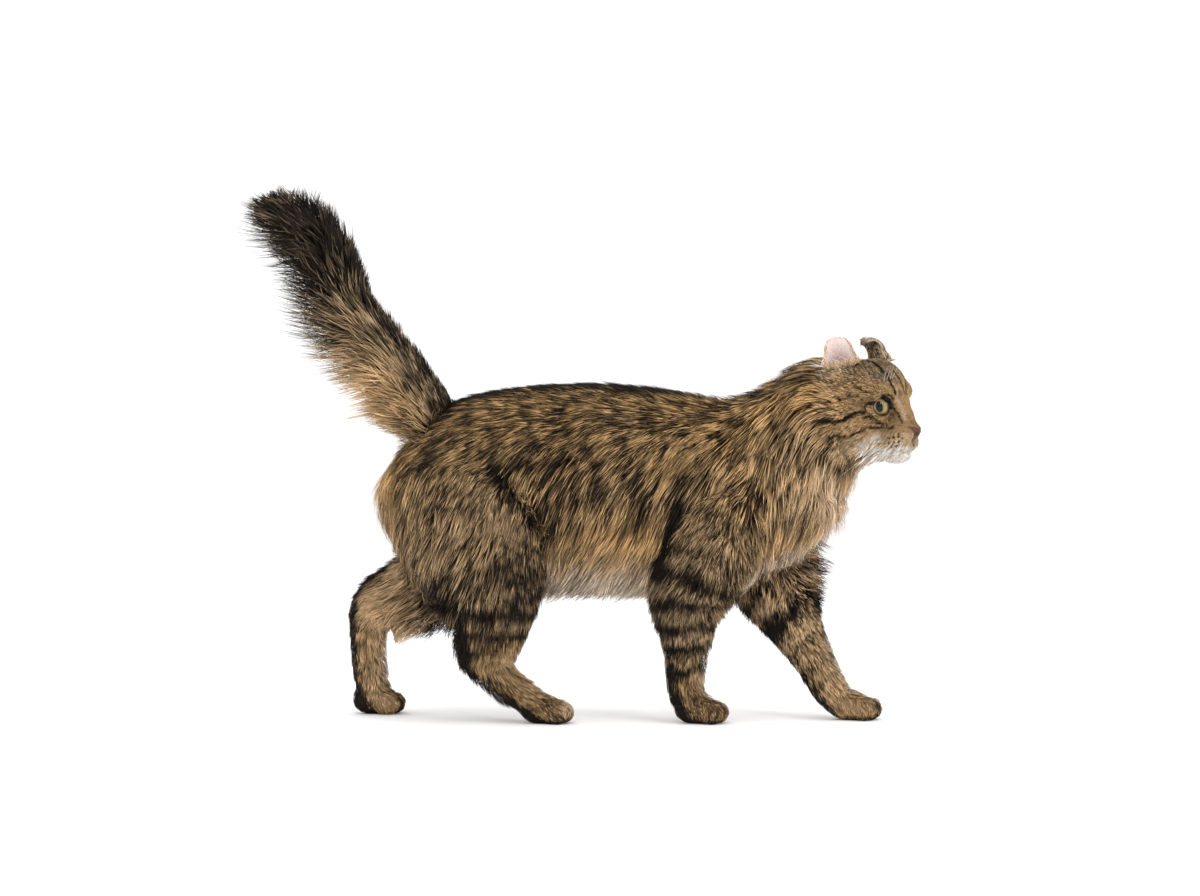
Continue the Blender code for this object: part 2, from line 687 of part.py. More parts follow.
def tree_of(mesh):
    return BVHTree.FromPolygons([v.co for v in mesh.vertices], [tuple(p.vertices) for p in mesh.polygons])


def tube_lock_roots(surface):
    """Root, normal, lie, size, lift and cling of every lock on the tubes."""
    roots = []
    for tube, first, last, tiers, from_angle, to_angle, count, length, width, cling in COAT:
        rows = TUBES[tube]
        along, backwards, down = LIE[tube]
        whole = abs(to_angle - from_angle) == 360
        for tier in range(tiers):
            for k in range(count):
                share = first + (last - first) * (tier + random.uniform(-0.12, 0.12)) / (tiers - 1)
                shift = (tier % 2) / 2 + random.uniform(-0.1, 0.1)
                turn = (k + shift) / (count if whole else count - 0.5)
                angle = math.radians(from_angle + (to_angle - from_angle) * turn)
                size = (length * MM * random.uniform(0.9, 1.12), width * MM * random.uniform(0.92, 1.08))
                s = station_at(rows, min(max(share, 0.02), 0.98))
                centre, tangent, _, _ = tube_frame(rows, s)
                ray = tube_point(rows, s, angle, core_share(tube, s)) - centre
                root, normal, _, distance = surface.ray_cast(centre, ray.normalized())
                if root is None or distance > ray.length * 1.18:
                    continue
                lift = coat_depth(row_at(rows, s), angle) * (1 - core_share(tube, s)) - 1.5 * MM
                lie = tangent * along + Vector((-backwards, 0, -down * abs(math.sin(angle))))
                roots.append((root, normal, lie.normalized(), size, max(lift, 1.5 * MM), cling))
    return roots


def fan_lock_roots(surface):
    roots = []
    for centre, headings, pitches, lie, depth, length, width in FANS:
        for row, pitch in enumerate(pitches):
            for heading in headings:
                yaw = math.radians(heading + random.uniform(-4, 4) + 12 * (row % 2))
                tilt = math.radians(pitch + random.uniform(-3, 3))
                ray = Vector((math.cos(yaw) * math.cos(tilt), math.sin(yaw) * math.cos(tilt), math.sin(tilt)))
                root, normal, _, _ = surface.ray_cast(Vector(centre) * MM, ray)
                size = (length * MM * random.uniform(0.9, 1.1), width * MM)
                lift = depth * MM * (1 - CORE_SHARE)
                roots.append((root, normal, Vector(lie).normalized(), size, lift, 0.7))
    return roots


def cheek_lock_roots(surface, turn):
    roots = []
    length, width = CHEEK_LOCK_SIZE
    for side in (-1, 1):
        for x, y, z in CHEEK_LOCKS:
            place = turn @ (Vector((x, y * side, z)) * MM)
            root, normal, _, _ = surface.find_nearest(place)
            along, outward, up = CHEEK_LIE
            lie = (turn.to_3x3() @ Vector((along, outward * side, up))).normalized()
            roots.append((root, normal, lie, (length * MM, width * MM), CHEEK_LIFT * MM, 0.6))
    return roots


def grow_coat(nodes, surface, turn, collection):
    """Sets the locks on their nodes, each clear of every other node, and fuses them."""
    cores = {name: tree_of(node.data) for name, node in nodes.items()}
    locks = {name: [] for name in nodes}
    roots = cheek_lock_roots(surface, turn) + fan_lock_roots(surface) + tube_lock_roots(surface)
    for root, normal, lie, size, lift, cling in roots:
        owner = min(cores, key=lambda name: cores[name].find_nearest(root)[3])
        for scale, push, raised in LOCK_TRIES:
            place, face, _, _ = surface.find_nearest(root + lie * push * MM)
            fitted = (size[0] * scale, size[1] * max(scale, LEAST_WIDTH_SHARE))
            rings = lock_rings(surface, place, face, lie, fitted, lift * scale + raised * MM, cling)
            guard = tree_of(lock_mesh("guard", rings, fitted, GAP * 1.3))
            others = [cores[name] for name in nodes if name != owner]
            others += [tree for name, trees in locks.items() if name != owner for _, tree in trees]
            if not any(guard.overlap(tree) for tree in others):
                mesh = lock_mesh("lock", rings, fitted, 0)
                locks[owner].append((mesh, tree_of(mesh)))
                break
    for name, made in locks.items():
        if not made:
            continue
        group = new_collection("locks_" + name)
        for mesh, _ in made:
            new_object("lock", mesh, group)
        boolean(nodes[name], group, "UNION")
        for obj in list(group.objects):
            bpy.data.objects.remove(obj)
        bpy.data.collections.remove(group)
        keep_largest(nodes[name])


def make_cell(name, planes, offset, collection, turn=None):
    """The space on the inner side of all the planes, each moved out by the offset."""
    bm = bmesh.new()
    bmesh.ops.create_cube(bm, size=2)
    for point, normal in planes:
        outward = Vector(normal).normalized()
        cut = bmesh.ops.bisect_plane(
            bm,
            geom=bm.verts[:] + bm.edges[:] + bm.faces[:],
            plane_co=Vector(point) * MM + outward * offset,
            plane_no=outward,
            clear_outer=True,
        )
        rim = [part for part in cut["geom_cut"] if isinstance(part, bmesh.types.BMEdge)]
        bmesh.ops.holes_fill(bm, edges=rim)
    bmesh.ops.recalc_face_normals(bm, faces=bm.faces)
    if turn:
        bmesh.ops.transform(bm, matrix=turn, verts=bm.verts)
    return new_object(name, mesh_from_bmesh(name, bm), collection)


def part_off(body, name, planes, collection, turn=None):
    """Cuts the named node off the body, with the gap between them."""
    node = new_object(name, body.data.copy(), collection)
    inside = make_cell("cell", planes, -GAP / 2, collection, turn)
    boolean(node, inside, "INTERSECT")
    bpy.data.objects.remove(inside)
    outside = make_cell("cell", planes, GAP / 2, collection, turn)
    boolean(body, outside, "DIFFERENCE")
    bpy.data.objects.remove(outside)
    keep_largest(node)
    keep_largest(body)
    return node


def cut_nostrils(nose, turn, collection):
    for side in (-1, 1):
        place = Vector((-1.2, 3.6 * side, -0.8)) * MM
        sizes = Vector((2.6, 1.2, 1.5)) * NOSTRIL_RADIUS * 0.8 * MM
        hole = ball("nostril", place, sizes, collection, Matrix.Rotation(0.6 * side, 4, "Z"), 8)
        hole.data.transform(turn)
        boolean(nose, hole, "DIFFERENCE")
        bpy.data.objects.remove(hole)


def make_materials():
    made = {}
    for name, colour in COLOURS.items():
        material = bpy.data.materials.new(name)
        material.use_nodes = True
        shader = material.node_tree.nodes["Principled BSDF"]
        shader.inputs["Base Color"].default_value = (*colour, 1)
        shader.inputs["Roughness"].default_value = 0.1 if name == "eye" else 0.8
        shader.inputs["Metallic"].default_value = 0.0
        made[name] = material
    return made


def paint(nodes):
    """Gives each node its material and smooth shading."""
    made = make_materials()
    dark = ("tail_end",)
    for name, node in nodes.items():
        slot = "coat_dark" if name in dark else "coat_tabby"
        if name.startswith(("ear", "eye", "nose")):
            slot = name.split("_")[0]
        node.data.materials.clear()
        node.data.materials.append(made[slot])
        node.data.shade_smooth()
        node.data.set_sharp_from_angle(angle=math.radians(40))


def stand_on_origin(nodes):
    """Moves the cat so that the middle of its bounding box is over the origin."""
    corners = [node.matrix_world @ vert.co for node in nodes.values() for vert in node.data.vertices]
    low = Vector(min(c[k] for c in corners) for k in range(3))
    high = Vector(max(c[k] for c in corners) for k in range(3))
    shift = -(low + high) / 2
    shift.z = -low.z
    for node in nodes.values():
        node.data.transform(Matrix.Translation(shift))


def main():
    random.seed(SEED)
    clear_scene()
    cat = new_collection("curled_ear_cat")
    turn = head_matrix()
    body = make_body(cat)
    skull = make_skull(cat)
    shape_face(skull, cat)
    skull.data.transform(turn)
    boolean(body, skull, "UNION")
    bpy.data.objects.remove(skull)
    below_floor = make_cell("cell", [((0, 0, 0), (0, 0, 1))], 0, cat)
    boolean(body, below_floor, "DIFFERENCE")
    bpy.data.objects.remove(below_floor)

    surface = tree_of(body.data)
    nodes = {}
    for side, word in ((-1, "right"), (1, "left")):
        ear = make_ear(side, cat)
        ear.data.transform(turn)
        slot = grown_copy(ear, GAP, cat)
        boolean(body, slot, "DIFFERENCE")
        bpy.data.objects.remove(slot)
        keep_largest(body)
        nodes["ear_" + word] = ear
        eye = ball("eye_" + word, mirrored(EYE_CENTRE, side) * MM, Vector((1, 1, 1)) * EYE_RADIUS * MM, cat)
        eye.data.transform(turn)
        nodes["eye_" + word] = eye
    nodes["nose"] = part_off(body, "nose", NOSE_PLANES, cat, turn)
    cut_nostrils(nodes["nose"], turn, cat)
    for name, planes in CUTS.items():
        nodes[name] = part_off(body, name, planes, cat)
    body.name = body.data.name = "torso"
    nodes["torso"] = body
    grow_coat(nodes, surface, turn, cat)
    paint(nodes)
    stand_on_origin(nodes)


main()
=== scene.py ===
"""The looks of the curled-ear longhair cat, a brown tabby that walks with its tail raised.

One skin is modelled round the same tubes and head as the solids, and the coat grows on it as
solid tufts that follow its lie. Skin and coat take their markings from the same functions.
Lengths are millimetres in the cat's design frame until a mesh is made, which then moves to the
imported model's frame.
"""

import math

import bmesh
import bpy
import numpy as np
from mathutils import Matrix, Vector
from mathutils.bvhtree import BVHTree
from mathutils.kdtree import KDTree


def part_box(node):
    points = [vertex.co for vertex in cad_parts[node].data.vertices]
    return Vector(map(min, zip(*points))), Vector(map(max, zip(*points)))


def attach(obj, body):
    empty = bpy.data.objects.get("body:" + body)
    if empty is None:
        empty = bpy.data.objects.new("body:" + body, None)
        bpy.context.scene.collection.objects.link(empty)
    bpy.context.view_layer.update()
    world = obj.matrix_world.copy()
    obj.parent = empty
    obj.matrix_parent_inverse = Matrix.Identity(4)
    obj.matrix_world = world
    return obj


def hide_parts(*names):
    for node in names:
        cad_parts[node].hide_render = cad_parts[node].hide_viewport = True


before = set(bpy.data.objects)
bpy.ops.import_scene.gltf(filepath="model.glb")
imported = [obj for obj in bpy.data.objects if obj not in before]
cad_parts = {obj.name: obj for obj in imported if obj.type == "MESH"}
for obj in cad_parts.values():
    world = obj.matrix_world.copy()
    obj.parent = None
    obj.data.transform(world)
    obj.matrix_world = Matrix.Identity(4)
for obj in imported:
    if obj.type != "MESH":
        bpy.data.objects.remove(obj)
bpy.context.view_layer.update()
MM = 0.001
draw = np.random.default_rng(7)

# Each row of a tube: centre x, y, z, the skin's radius on the upper or front side and across,
# then the coat's depth on the upper or front side and on the side opposite.
TRUNK = [
    (-152, 0, 216, 16, 18, 14, 22),
    (-138, 0, 206, 46, 36, 10, 26),
    (-112, 0, 201, 61, 46, 9, 28),
    (-75, 0, 202, 69, 51, 9, 30),
    (-30, 0, 203, 73, 54, 9, 31),
    (20, 0, 203, 74, 55, 9, 31),
    (62, 0, 199, 73, 51, 9, 30),
    (98, 0, 194, 70, 47, 10, 28),
    (130, 0, 194, 68, 43, 11, 28),
    (158, 0, 188, 55, 37, 13, 26),
    (178, 0, 176, 36, 27, 16, 24),
    (190, 0, 170, 14, 13, 18, 22),
]
NECK = [
    (118, 0, 204, 56, 42, 10, 28),
    (152, 0, 220, 50, 41, 12, 32),
    (182, -1, 239, 44, 39, 13, 30),
    (203, -2, 259, 39, 37, 14, 22),
    (219, -3, 270, 34, 33, 13, 13),
    (234, -5, 275, 24, 26, 9, 8),
]
TAIL = [
    (-122, 0, 246, 17, 16, 18, 9),
    (-134, 0, 265, 14, 13, 30, 10),
    (-150, 0, 290, 11, 11, 40, 12),
    (-170, 0, 315, 9.5, 9.5, 45, 13),
    (-189, 0, 340, 8.5, 8.5, 46, 14),
    (-202, 0, 364, 8, 8, 44, 16),
    (-212, 0, 388, 7, 7, 42, 20),
    (-224, 0, 406, 6.5, 6.5, 40, 24),
    (-240, 0, 422, 6, 6, 36, 28),
    (-254, 0, 431, 4.5, 4.5, 28, 26),
    (-266, 0, 438, 3, 3, 16, 16),
    (-272, 0, 441, 1.5, 1.5, 5, 5),
]
FORELEG_RIGHT = [
    (118, -30, 186, 26, 14, 12, 14),
    (108, -36, 160, 31, 18, 12, 16),
    (96, -40, 130, 29, 19, 12, 18),
    (86, -41, 106, 23, 17, 10, 16),
    (84.5, -42, 84, 18.5, 15, 6, 9),
    (83.5, -42, 62, 15.5, 13, 5, 6),
    (82.5, -42, 42, 13, 12, 4.5, 5),
    (83, -42, 28, 12.5, 12.5, 4, 4),
    (86, -42, 17, 12, 13, 3, 3),
    (88, -42, 10, 9, 11, 2, 2),
]
FORELEG_LEFT = [
    (148, 30, 182, 26, 14, 16, 14),
    (152, 33, 156, 31, 18, 21, 16),
    (156, 30, 128, 28, 18, 23, 18),
    (164, 22, 106, 23, 17, 19, 14),
    (175, 12, 84, 18.5, 15, 6, 9),
    (187, 2, 61, 15.5, 13, 5, 6),
    (198, -6, 40, 13, 12, 4.5, 5),
    (205, -9, 27, 12.5, 12.5, 4, 4),
    (211, -10, 17, 12, 13, 3, 3),
    (214, -10, 10, 9, 11, 2, 2),
]
HINDLEG_RIGHT = [
    (-118, -28, 214, 34, 14, 9, 20),
    (-106, -36, 188, 46, 20, 9, 24),
    (-92, -42, 158, 47, 24, 10, 28),
    (-80, -45, 130, 39, 22, 10, 26),
    (-76, -45, 106, 31, 18, 9, 22),
    (-78, -44, 86, 26, 15, 9, 16),
    (-80, -43, 70, 20.5, 12.5, 9, 14),
    (-82, -42, 56, 16, 11, 6, 8),
    (-74, -42, 41, 12.5, 11, 4.5, 5),
    (-58, -42, 26, 11.5, 12, 4, 4),
    (-46, -42, 17, 11, 13, 3, 3),
    (-40, -42, 12, 8, 11, 2, 2),
]
HINDLEG_LEFT = [
    (-118, 28, 214, 34, 14, 9, 20),
    (-112, 36, 188, 46, 20, 9, 24),
    (-110, 42, 158, 45, 23, 10, 26),
    (-116, 45, 132, 36, 21, 10, 22),
    (-134, 46, 114, 28, 17, 19, 16),
    (-157, 46, 104, 21, 13.5, 22, 12),
    (-176, 45.5, 98, 16.5, 11.5, 10, 10),
    (-187, 45, 86, 13.5, 10.5, 6, 7),
    (-189.5, 45, 70, 12, 10.5, 5, 5),
    (-189, 45, 50, 12, 11, 4.5, 4.5),
    (-187, 45, 30, 11.5, 12, 4, 4),
    (-183, 45, 18, 11, 13, 3, 3),
    (-179, 45, 11, 8.5, 11.5, 2, 2),
]
TUBES = {
    "trunk": TRUNK,
    "neck": NECK,
    "tail": TAIL,
    "foreleg_right": FORELEG_RIGHT,
    "foreleg_left": FORELEG_LEFT,
    "hindleg_right": HINDLEG_RIGHT,
    "hindleg_left": HINDLEG_LEFT,
}
# Each paw's middle at the heel of the toes, x and y, and its heading in degrees.
PAWS = {
    "foreleg_right": (92, -42, -2),
    "foreleg_left": (223, -10, -4),
    "hindleg_right": (-37, -42, -2),
    "hindleg_left": (-184, 45, 2),
}
PALM_RADII = (19, 15.5, 13)
PALM_HEIGHT = 11.5
TOE_RADII = (12, 6.6, 10)
TOE_HEIGHT = 9.5
TOE_OFFSETS = ((12, -13), (16.5, -4.6), (16.5, 4.6), (12, 13))
PAW_COAT = 1.5
# How far past a leg's last row the toes still belong to it.
TOE_REACH = 30
# From the middle crease between the toes to the outer ones, and how deep they are.
TOE_GAP = 8.8
TOE_CREASE = 2.0

# The head's own frame has its origin at the tip of the nose, x forwards and y to its left.
NOSE_TIP = Vector((280, -40, 242))
HEAD_YAW = math.radians(-31)
# The masses of the head: centre and radii, with a mirror image of each that is off the middle.
SKULL = [
    (-66, 0, 30, 36, 32, 33),
    (-42, 0, 37, 27, 25, 27),
    (-52, 14, 41, 24, 20, 22),
    (-58, 20, 4, 27, 19, 22),
    (-44, 0, -7, 32, 24, 15),
    (-20, 0, 3, 15, 13, 12),
    (-7.5, 0, 2, 7.5, 7, 6.5),
    (-14.5, 0, 13, 8, 8, 10),
    (-21, 0, 25, 10, 11, 11),
    (-16, 8.5, -7, 10, 10, 8.5),
    (-20, 0, -17.5, 11, 10, 7.5),
    (-31.5, 19, 22, 11.4, 11.4, 11.4),
    (-24.5, 13, 36, 10, 10, 9),
    (-37, 19, 8, 15, 11, 11),
    (-60, 30, 46, 16, 9, 15),
]
SKULL_BLEND = 2.0
SKULL_CENTRE = np.array((-42.0, 0, 16))
HEAD_REACH = 75

# The right eye, and the opening of its lids in half width, half height, shift inward and slant.
EYE_RADIUS = 10.5
EYE_CENTRE = Vector((-31.5, -19, 22))
EYE_GAZE = Vector((0.9, -0.43, 0.06)).normalized()
EYE_HOLLOW = 1.5
LID_EDGE = 11.2
LID_HALF_WIDTH = 8.8
LID_HALF_HEIGHT = 7.0
LID_INWARD = 0.6
LID_TILT = math.radians(14)
MOUTH_LINE = [(-1, 0, -5), (-2, 0, -9), (-5, 4, -13.5), (-12, 11, -15.5), (-21, 17, -14), (-30, 21, -10)]

# The right ear: its foot, the ways it faces and rises, its length and half width, the straight
# share of its length and the radius of its curl, then its cup, dome, tuck, nip and thickness.
EAR_BASE = Vector((-57.5, -33, 53.5))
EAR_FACING = Vector((0.5, -0.84, 0.05)).normalized()
EAR_RISE = Vector((0.0, -0.3, 0.95)).normalized()
EAR_LENGTH = 41
EAR_HALF_WIDTH = 16.5
EAR_STRAIGHT = 0.7
EAR_CURL_RADIUS = 7
EAR_CUP = 7
EAR_DOME = 4
EAR_ROUND = 1.5
EAR_TUCK = 9
EAR_NIP = 0.2
EAR_FOOT = 10
EAR_THICKNESS = 1.7
EAR_ROOT = 8
# The left ear stands this much higher.
EAR_LIFT = 2

SKIN_VOXEL = 2.2
# Each kind of tuft: how many, its width, and the shares of its length where it has a point.
KINDS = {
    "face": (44000, 0.4, (0.5, 1.0)),
    "paw": (18000, 0.58, (0.5, 1.0)),
    "body": (86000, 0.85, (0.55, 1.0)),
    "long": (47000, 1.0, (0.35, 0.7, 1.0)),
}
PIECE_TRIANGLES = 190000
# How many tufts lead a clump, for a clump of size 1.
LEAD_SHARE = 2.4
BAKE_PATCH = 0.003
# How much chance makes one tuft darker than the next.
DARK_SPREAD = 1.25
# How many points are set against a tube's rows at once, and how sharply the tubes part.
BATCH = 20000
PARTING = 7
# Sides of the skin's tubes, their rings for each row, and the place on a hair whose colour the skin has.
TUBE_SIDES = 24
TUBE_STEPS = 3
SKIN_STRAND = 0.45


def smooth(low, high, value):
    t = np.clip((value - low) / (high - low), 0, 1)
    return t * t * (3 - 2 * t)


def unit(vectors):
    return vectors / np.maximum(np.linalg.norm(vectors, axis=-1, keepdims=True), 1e-9)


def along_surface(directions, normals):
    return unit(directions - (directions * normals).sum(1, keepdims=True) * normals)


def noise(points, size, seed=0):
    """Smooth noise from -1 to 1 over points, with cells of that size."""
    place = points / size + seed * 11.37
    cell = np.floor(place).astype(np.int64)
    part = place - cell
    part = part * part * (3 - 2 * part)
    total = np.zeros(len(points))
    for corner in range(8):
        bits = np.array((corner & 1, corner >> 1 & 1, corner >> 2 & 1))
        x, y, z = (cell + bits).T
        mixed = (x * 73856093) ^ (y * 19349663) ^ (z * 83492791) ^ (seed * 2654435)
        mixed = (mixed ^ (mixed >> 13)) * 1274126177 & 0xFFFFFFF
        value = (mixed >> 8 & 0xFFFF) / 32767.5 - 1
        total += value * np.prod(np.where(bits, part, 1 - part), axis=1)
    return total


def peak(value, middle, half):
    """1 where the value is at the middle, and a third of that at half to either side."""
    return np.exp(-(((value - middle) / half) ** 2))


# The tubes of the body

def rows_at(rows, stations):
    """The tube's rows at the stations, on a Catmull-Rom curve through them."""
    table = np.array(rows, float)
    last = len(rows) - 1
    s = np.clip(stations, 0, last)
    i = np.minimum(s.astype(int), last - 1)
    t = (s - i)[:, None]
    p0, p1, p2, p3 = (table[np.clip(i + k, 0, last)] for k in (-1, 0, 1, 2))
    square = 2 * p0 - 5 * p1 + 4 * p2 - p3
    cube = 3 * p1 - p0 - 3 * p2 + p3
    return 0.5 * (2 * p1 + (p2 - p0) * t + square * t**2 + cube * t**3)


def tube_frames(rows, stations):
    """Rows, tangents, upper or front directions and left directions at the stations."""
    tangent = unit(rows_at(rows, stations + 0.05)[:, :3] - rows_at(rows, stations - 0.05)[:, :3])
    left = along_surface(np.tile((0.0, 1.0, 0.0), (len(tangent), 1)), tangent)
    return rows_at(rows, stations), tangent, np.cross(tangent, left), left


def coat_depth(row, angle):
    return row[:, 5] + (row[:, 6] - row[:, 5]) * (1 - np.cos(angle)) / 2


def nearest_rows(points, rows):
    """The number of the row nearest to each point."""
    found = np.empty(len(points), int)
    for first in range(0, len(points), BATCH):
        part = points[first : first + BATCH]
        gaps = ((part[:, None, :] - rows[None, :, :3]) ** 2).sum(2)
        found[first : first + BATCH] = gaps.argmin(1)
    return found


SAMPLES = {}
for tube_name, tube_rows in TUBES.items():
    sample_stations = np.linspace(0, len(tube_rows) - 1, (len(tube_rows) - 1) * 8 + 1)
    SAMPLES[tube_name] = (sample_stations, *tube_frames(tube_rows, sample_stations))


def tube_places(points):
    """For each tube, the points' stations, angles, coat depths, tangents and shares of belonging."""
    places, closeness = {}, []
    for name, (stations, rows, tangents, uppers, lefts) in SAMPLES.items():
        found = nearest_rows(points, rows)
        row, tangent = rows[found], tangents[found]
        offset = points - row[:, :3]
        over = np.abs((offset * tangent).sum(1))
        over = np.where((found == 0) | (found == len(stations) - 1), over, 0)
        over = over / np.where((found > 0) & ("leg" in name), TOE_REACH, row[:, 4])
        upward = (offset * uppers[found]).sum(1) / row[:, 3]
        sideways = (offset * lefts[found]).sum(1) / row[:, 4]
        angle = np.arctan2(sideways, upward)
        places[name] = {"s": stations[found], "angle": angle, "tangent": tangent}
        places[name]["depth"] = coat_depth(row, angle)
        closeness.append(np.hypot(upward, sideways) + over)
    closeness = np.array(closeness)
    share = np.exp(-PARTING * (closeness - closeness.min(0)))
    share /= share.sum(0)
    for place, own in zip(places.values(), share):
        place["share"] = own
    return places


# The head

HEAD_TURN = np.array(Matrix.Rotation(HEAD_YAW, 3, "Z"))


def to_head(points):
    """Points of the design frame in the head's own."""
    return (points - np.array(NOSE_TIP)) @ HEAD_TURN


def from_head(points):
    return np.asarray(points, float) @ HEAD_TURN.T + np.array(NOSE_TIP)


def mirrored(vector, side):
    """The vector of the right side of the head, or its mirror image for side 1."""
    return Vector((vector[0], vector[1] * -side, vector[2]))


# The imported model's right eye shows where the design frame lies in it.
eye_low, eye_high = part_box("eye_right")
eye_middle = Vector(from_head([mirrored(EYE_CENTRE, -1)])[0]) * MM
SHIFT = (eye_low + eye_high) / 2 - eye_middle


def near_head(head):
    return np.linalg.norm(head - SKULL_CENTRE, axis=1) < HEAD_REACH


def head_share(head, back, front):
    """1 over the head and 0 behind it, fading between two places along its length."""
    return smooth(back, front, head[:, 0]) * near_head(head)


def skull_distance(points):
    """About how far each point of the head's frame lies outside the masses of the head."""
    total = np.zeros(len(points))
    for x, y, z, *radii in SKULL:
        for side in (-1, 1) if y else (1,):
            reach = (points - (x, y * side, z)) / radii
            size = np.linalg.norm(reach, axis=1)
            slope = np.linalg.norm(reach / radii, axis=1) + 1e-9
            total += np.exp(np.clip(-size * (size - 1) / slope / SKULL_BLEND, -60, 60))
    return -SKULL_BLEND * np.log(total + 1e-30)


def skull_gradient(points):
    """The distance outside the head and the way straight out from it."""
    base = skull_distance(points)
    step = 0.2
    slopes = [(skull_distance(points + step * axis) - base) / step for axis in np.eye(3)]
    return base, unit(np.array(slopes).T)


def on_skull(points):
    """Where the rays from the middle of the head through the points meet its surface."""
    rays = unit(np.array(points, float) - SKULL_CENTRE)
    reach = np.full((len(rays), 1), 100.0)
    for _ in range(60):
        reach[:, 0] -= 0.6 * skull_distance(SKULL_CENTRE + rays * reach)
    return SKULL_CENTRE + rays * reach


def face_coat(points):
    """Depth of the short coat over the head, in its own frame."""
    back = smooth(12, 56, -points[:, 0])
    crown = smooth(38, 54, points[:, 2])
    lips = smooth(-2, -8, points[:, 2]) * smooth(-26, -12, points[:, 0])
    return 0.6 + 5.2 * back * (1 - 0.5 * crown) + 1.5 * lips


def line_distance(points, line):
    """Distance from each point to a line of several points."""
    best = np.full(len(points), 1e9)
    for start, end in zip(line, line[1:]):
        start, way = np.array(start, float), np.array(end, float) - start
        t = np.clip(((points - start) @ way) / (way @ way), 0, 1)
        best = np.minimum(best, np.linalg.norm(points - start - t[:, None] * way, axis=1))
    return best


def to_coat_surface(points):
    """The points of the head's frame moved onto the coat's surface, where its lines are drawn."""
    for _ in range(2):
        gap, slope = skull_gradient(points)
        points = points - slope * np.clip(gap, -12, 12)[:, None]
    return points


def both_sides(points):
    """The points of the head's frame folded onto its left side."""
    return points * (1, 0, 1) + np.abs(points) * (0, 1, 0)


def eye_turn(side):
    """A rotation whose X is the eye's gaze, with the lids' slant about it."""
    gaze = mirrored(EYE_GAZE, side)
    return gaze.to_track_quat("X", "Z").to_matrix() @ Matrix.Rotation(-LID_TILT * side, 3, "X")


# The slit of the lids' inner corner, inward and up of the eye.
TEAR_CORNER = [(6, -0.5, 0), (12.5, -3.4, 0)]
TEAR_HALF = 1.4


def lid_place(points, side):
    """How open the lids are at each point, where 1 is their edge, and the eyeball's point below it.

    That point is given ahead, across and up in the eye's own turn.
    """
    offset = points - np.array(mirrored(EYE_CENTRE, side))
    reach = np.linalg.norm(offset, axis=1)
    below = offset @ np.array(eye_turn(side)) / reach[:, None] * EYE_RADIUS
    ahead, across, up = below.T
    inward = across * -side
    opening = np.hypot((inward - LID_INWARD) / LID_HALF_WIDTH, up / LID_HALF_HEIGHT)
    flat = np.stack((inward, up, np.zeros(len(points))), 1)
    opening = np.minimum(opening, line_distance(flat, TEAR_CORNER) / TEAR_HALF)
    opening += 4 * smooth(EYE_RADIUS + 2.5, EYE_RADIUS + 7, reach)
    return np.where(ahead > 1.5, opening, 9), below


NOSTRIL = (-1.4, 3.2, -0.8)
NOSE_SLIT = [(-1.6, 3.4, -1.0), (-3.2, 5.2, -2.4), (-5.6, 8.0, -1.4)]
PHILTRUM = [(-0.3, 0, -3.5), (-2.2, 0, -9.5)]


def nose_mask(points):
    """1 on the leather of the nose and 0 off it, in the head's frame."""
    x, y, z = both_sides(points).T
    mask = smooth(-8.4, -7.2, x) * smooth(-5.6, -4.6, z)
    mask *= 1 - smooth(4.4, 5.4, z + 0.25 * x)
    return mask * (1 - smooth(6.2, 7.4, y - 0.5 * (z - 2)))


LIPS = [tuple(place) for place in on_skull(MOUTH_LINE)]
# The whisker spots on the left side; the first five carry no whisker.
SPOT_RADIUS = 1.45
SPOTS = [
    (-13.5, 15.5, -0.2),
    (-21.3, 18.0, -4.1),
    (-17.2, 17.8, -3.3),
    (-12.7, 17.2, -2.6),
    (-9.0, 16.3, -3.6),
    (-21.2, 18.2, -8.8),
    (-16.8, 18.6, -7.7),
    (-12.2, 18.4, -6.9),
    (-8.6, 17.0, -6.9),
    (-6.3, 15.3, -6.5),
    (-18.8, 16.6, -12.2),
    (-14.8, 17.2, -11.5),
    (-11.7, 17.2, -10.8),
    (-9.4, 16.6, -10.3),
    (-5.2, 10.9, -11.2),
]


# The grooves of the face, each with its half width.
GROOVE_DEPTH = 0.9
GROOVES = [(NOSE_SLIT, 0.8), (PHILTRUM, 0.7), (LIPS[1:], 0.9)]


def shape_face(points):
    """Moves points of the head's frame to make the lids, nostrils and mouth."""
    _, slope = skull_gradient(points)
    folded = both_sides(points)
    nostril = np.linalg.norm((folded - NOSTRIL) / (2.2, 1.5, 1.2), axis=1)
    sunk = 2.2 * peak(nostril, 0, 1)
    for line, half in GROOVES:
        sunk += GROOVE_DEPTH * peak(line_distance(folded, line), 0, half)
    points = points - slope * sunk[:, None]
    for side in (-1, 1):
        points = shape_lids(points, side)
    return points


def shape_lids(points, side):
    """Lays the points round an eye on its lids, and sinks those between the lids behind it."""
    centre = np.array(mirrored(EYE_CENTRE, side))
    opening, below = lid_place(points, side)
    reach = np.linalg.norm(points - centre, axis=1)
    lid = smooth(1.1, 1.75, opening)
    wanted = LID_EDGE * (1 - lid) + reach * lid - 0.5 * peak(opening, 1.42, 0.1)
    wanted = np.where(opening < 1.75, wanted, reach)
    placed = centre + unit(points - centre) * wanted[:, None]
    sunk = below * LID_EDGE / EYE_RADIUS
    sunk[:, 0] = -EYE_HOLLOW
    sunk = centre + sunk @ np.array(eye_turn(side)).T
    edge = smooth(0.92, 1.0, opening)[:, None]
    return sunk * (1 - edge) + placed * edge


# The skin

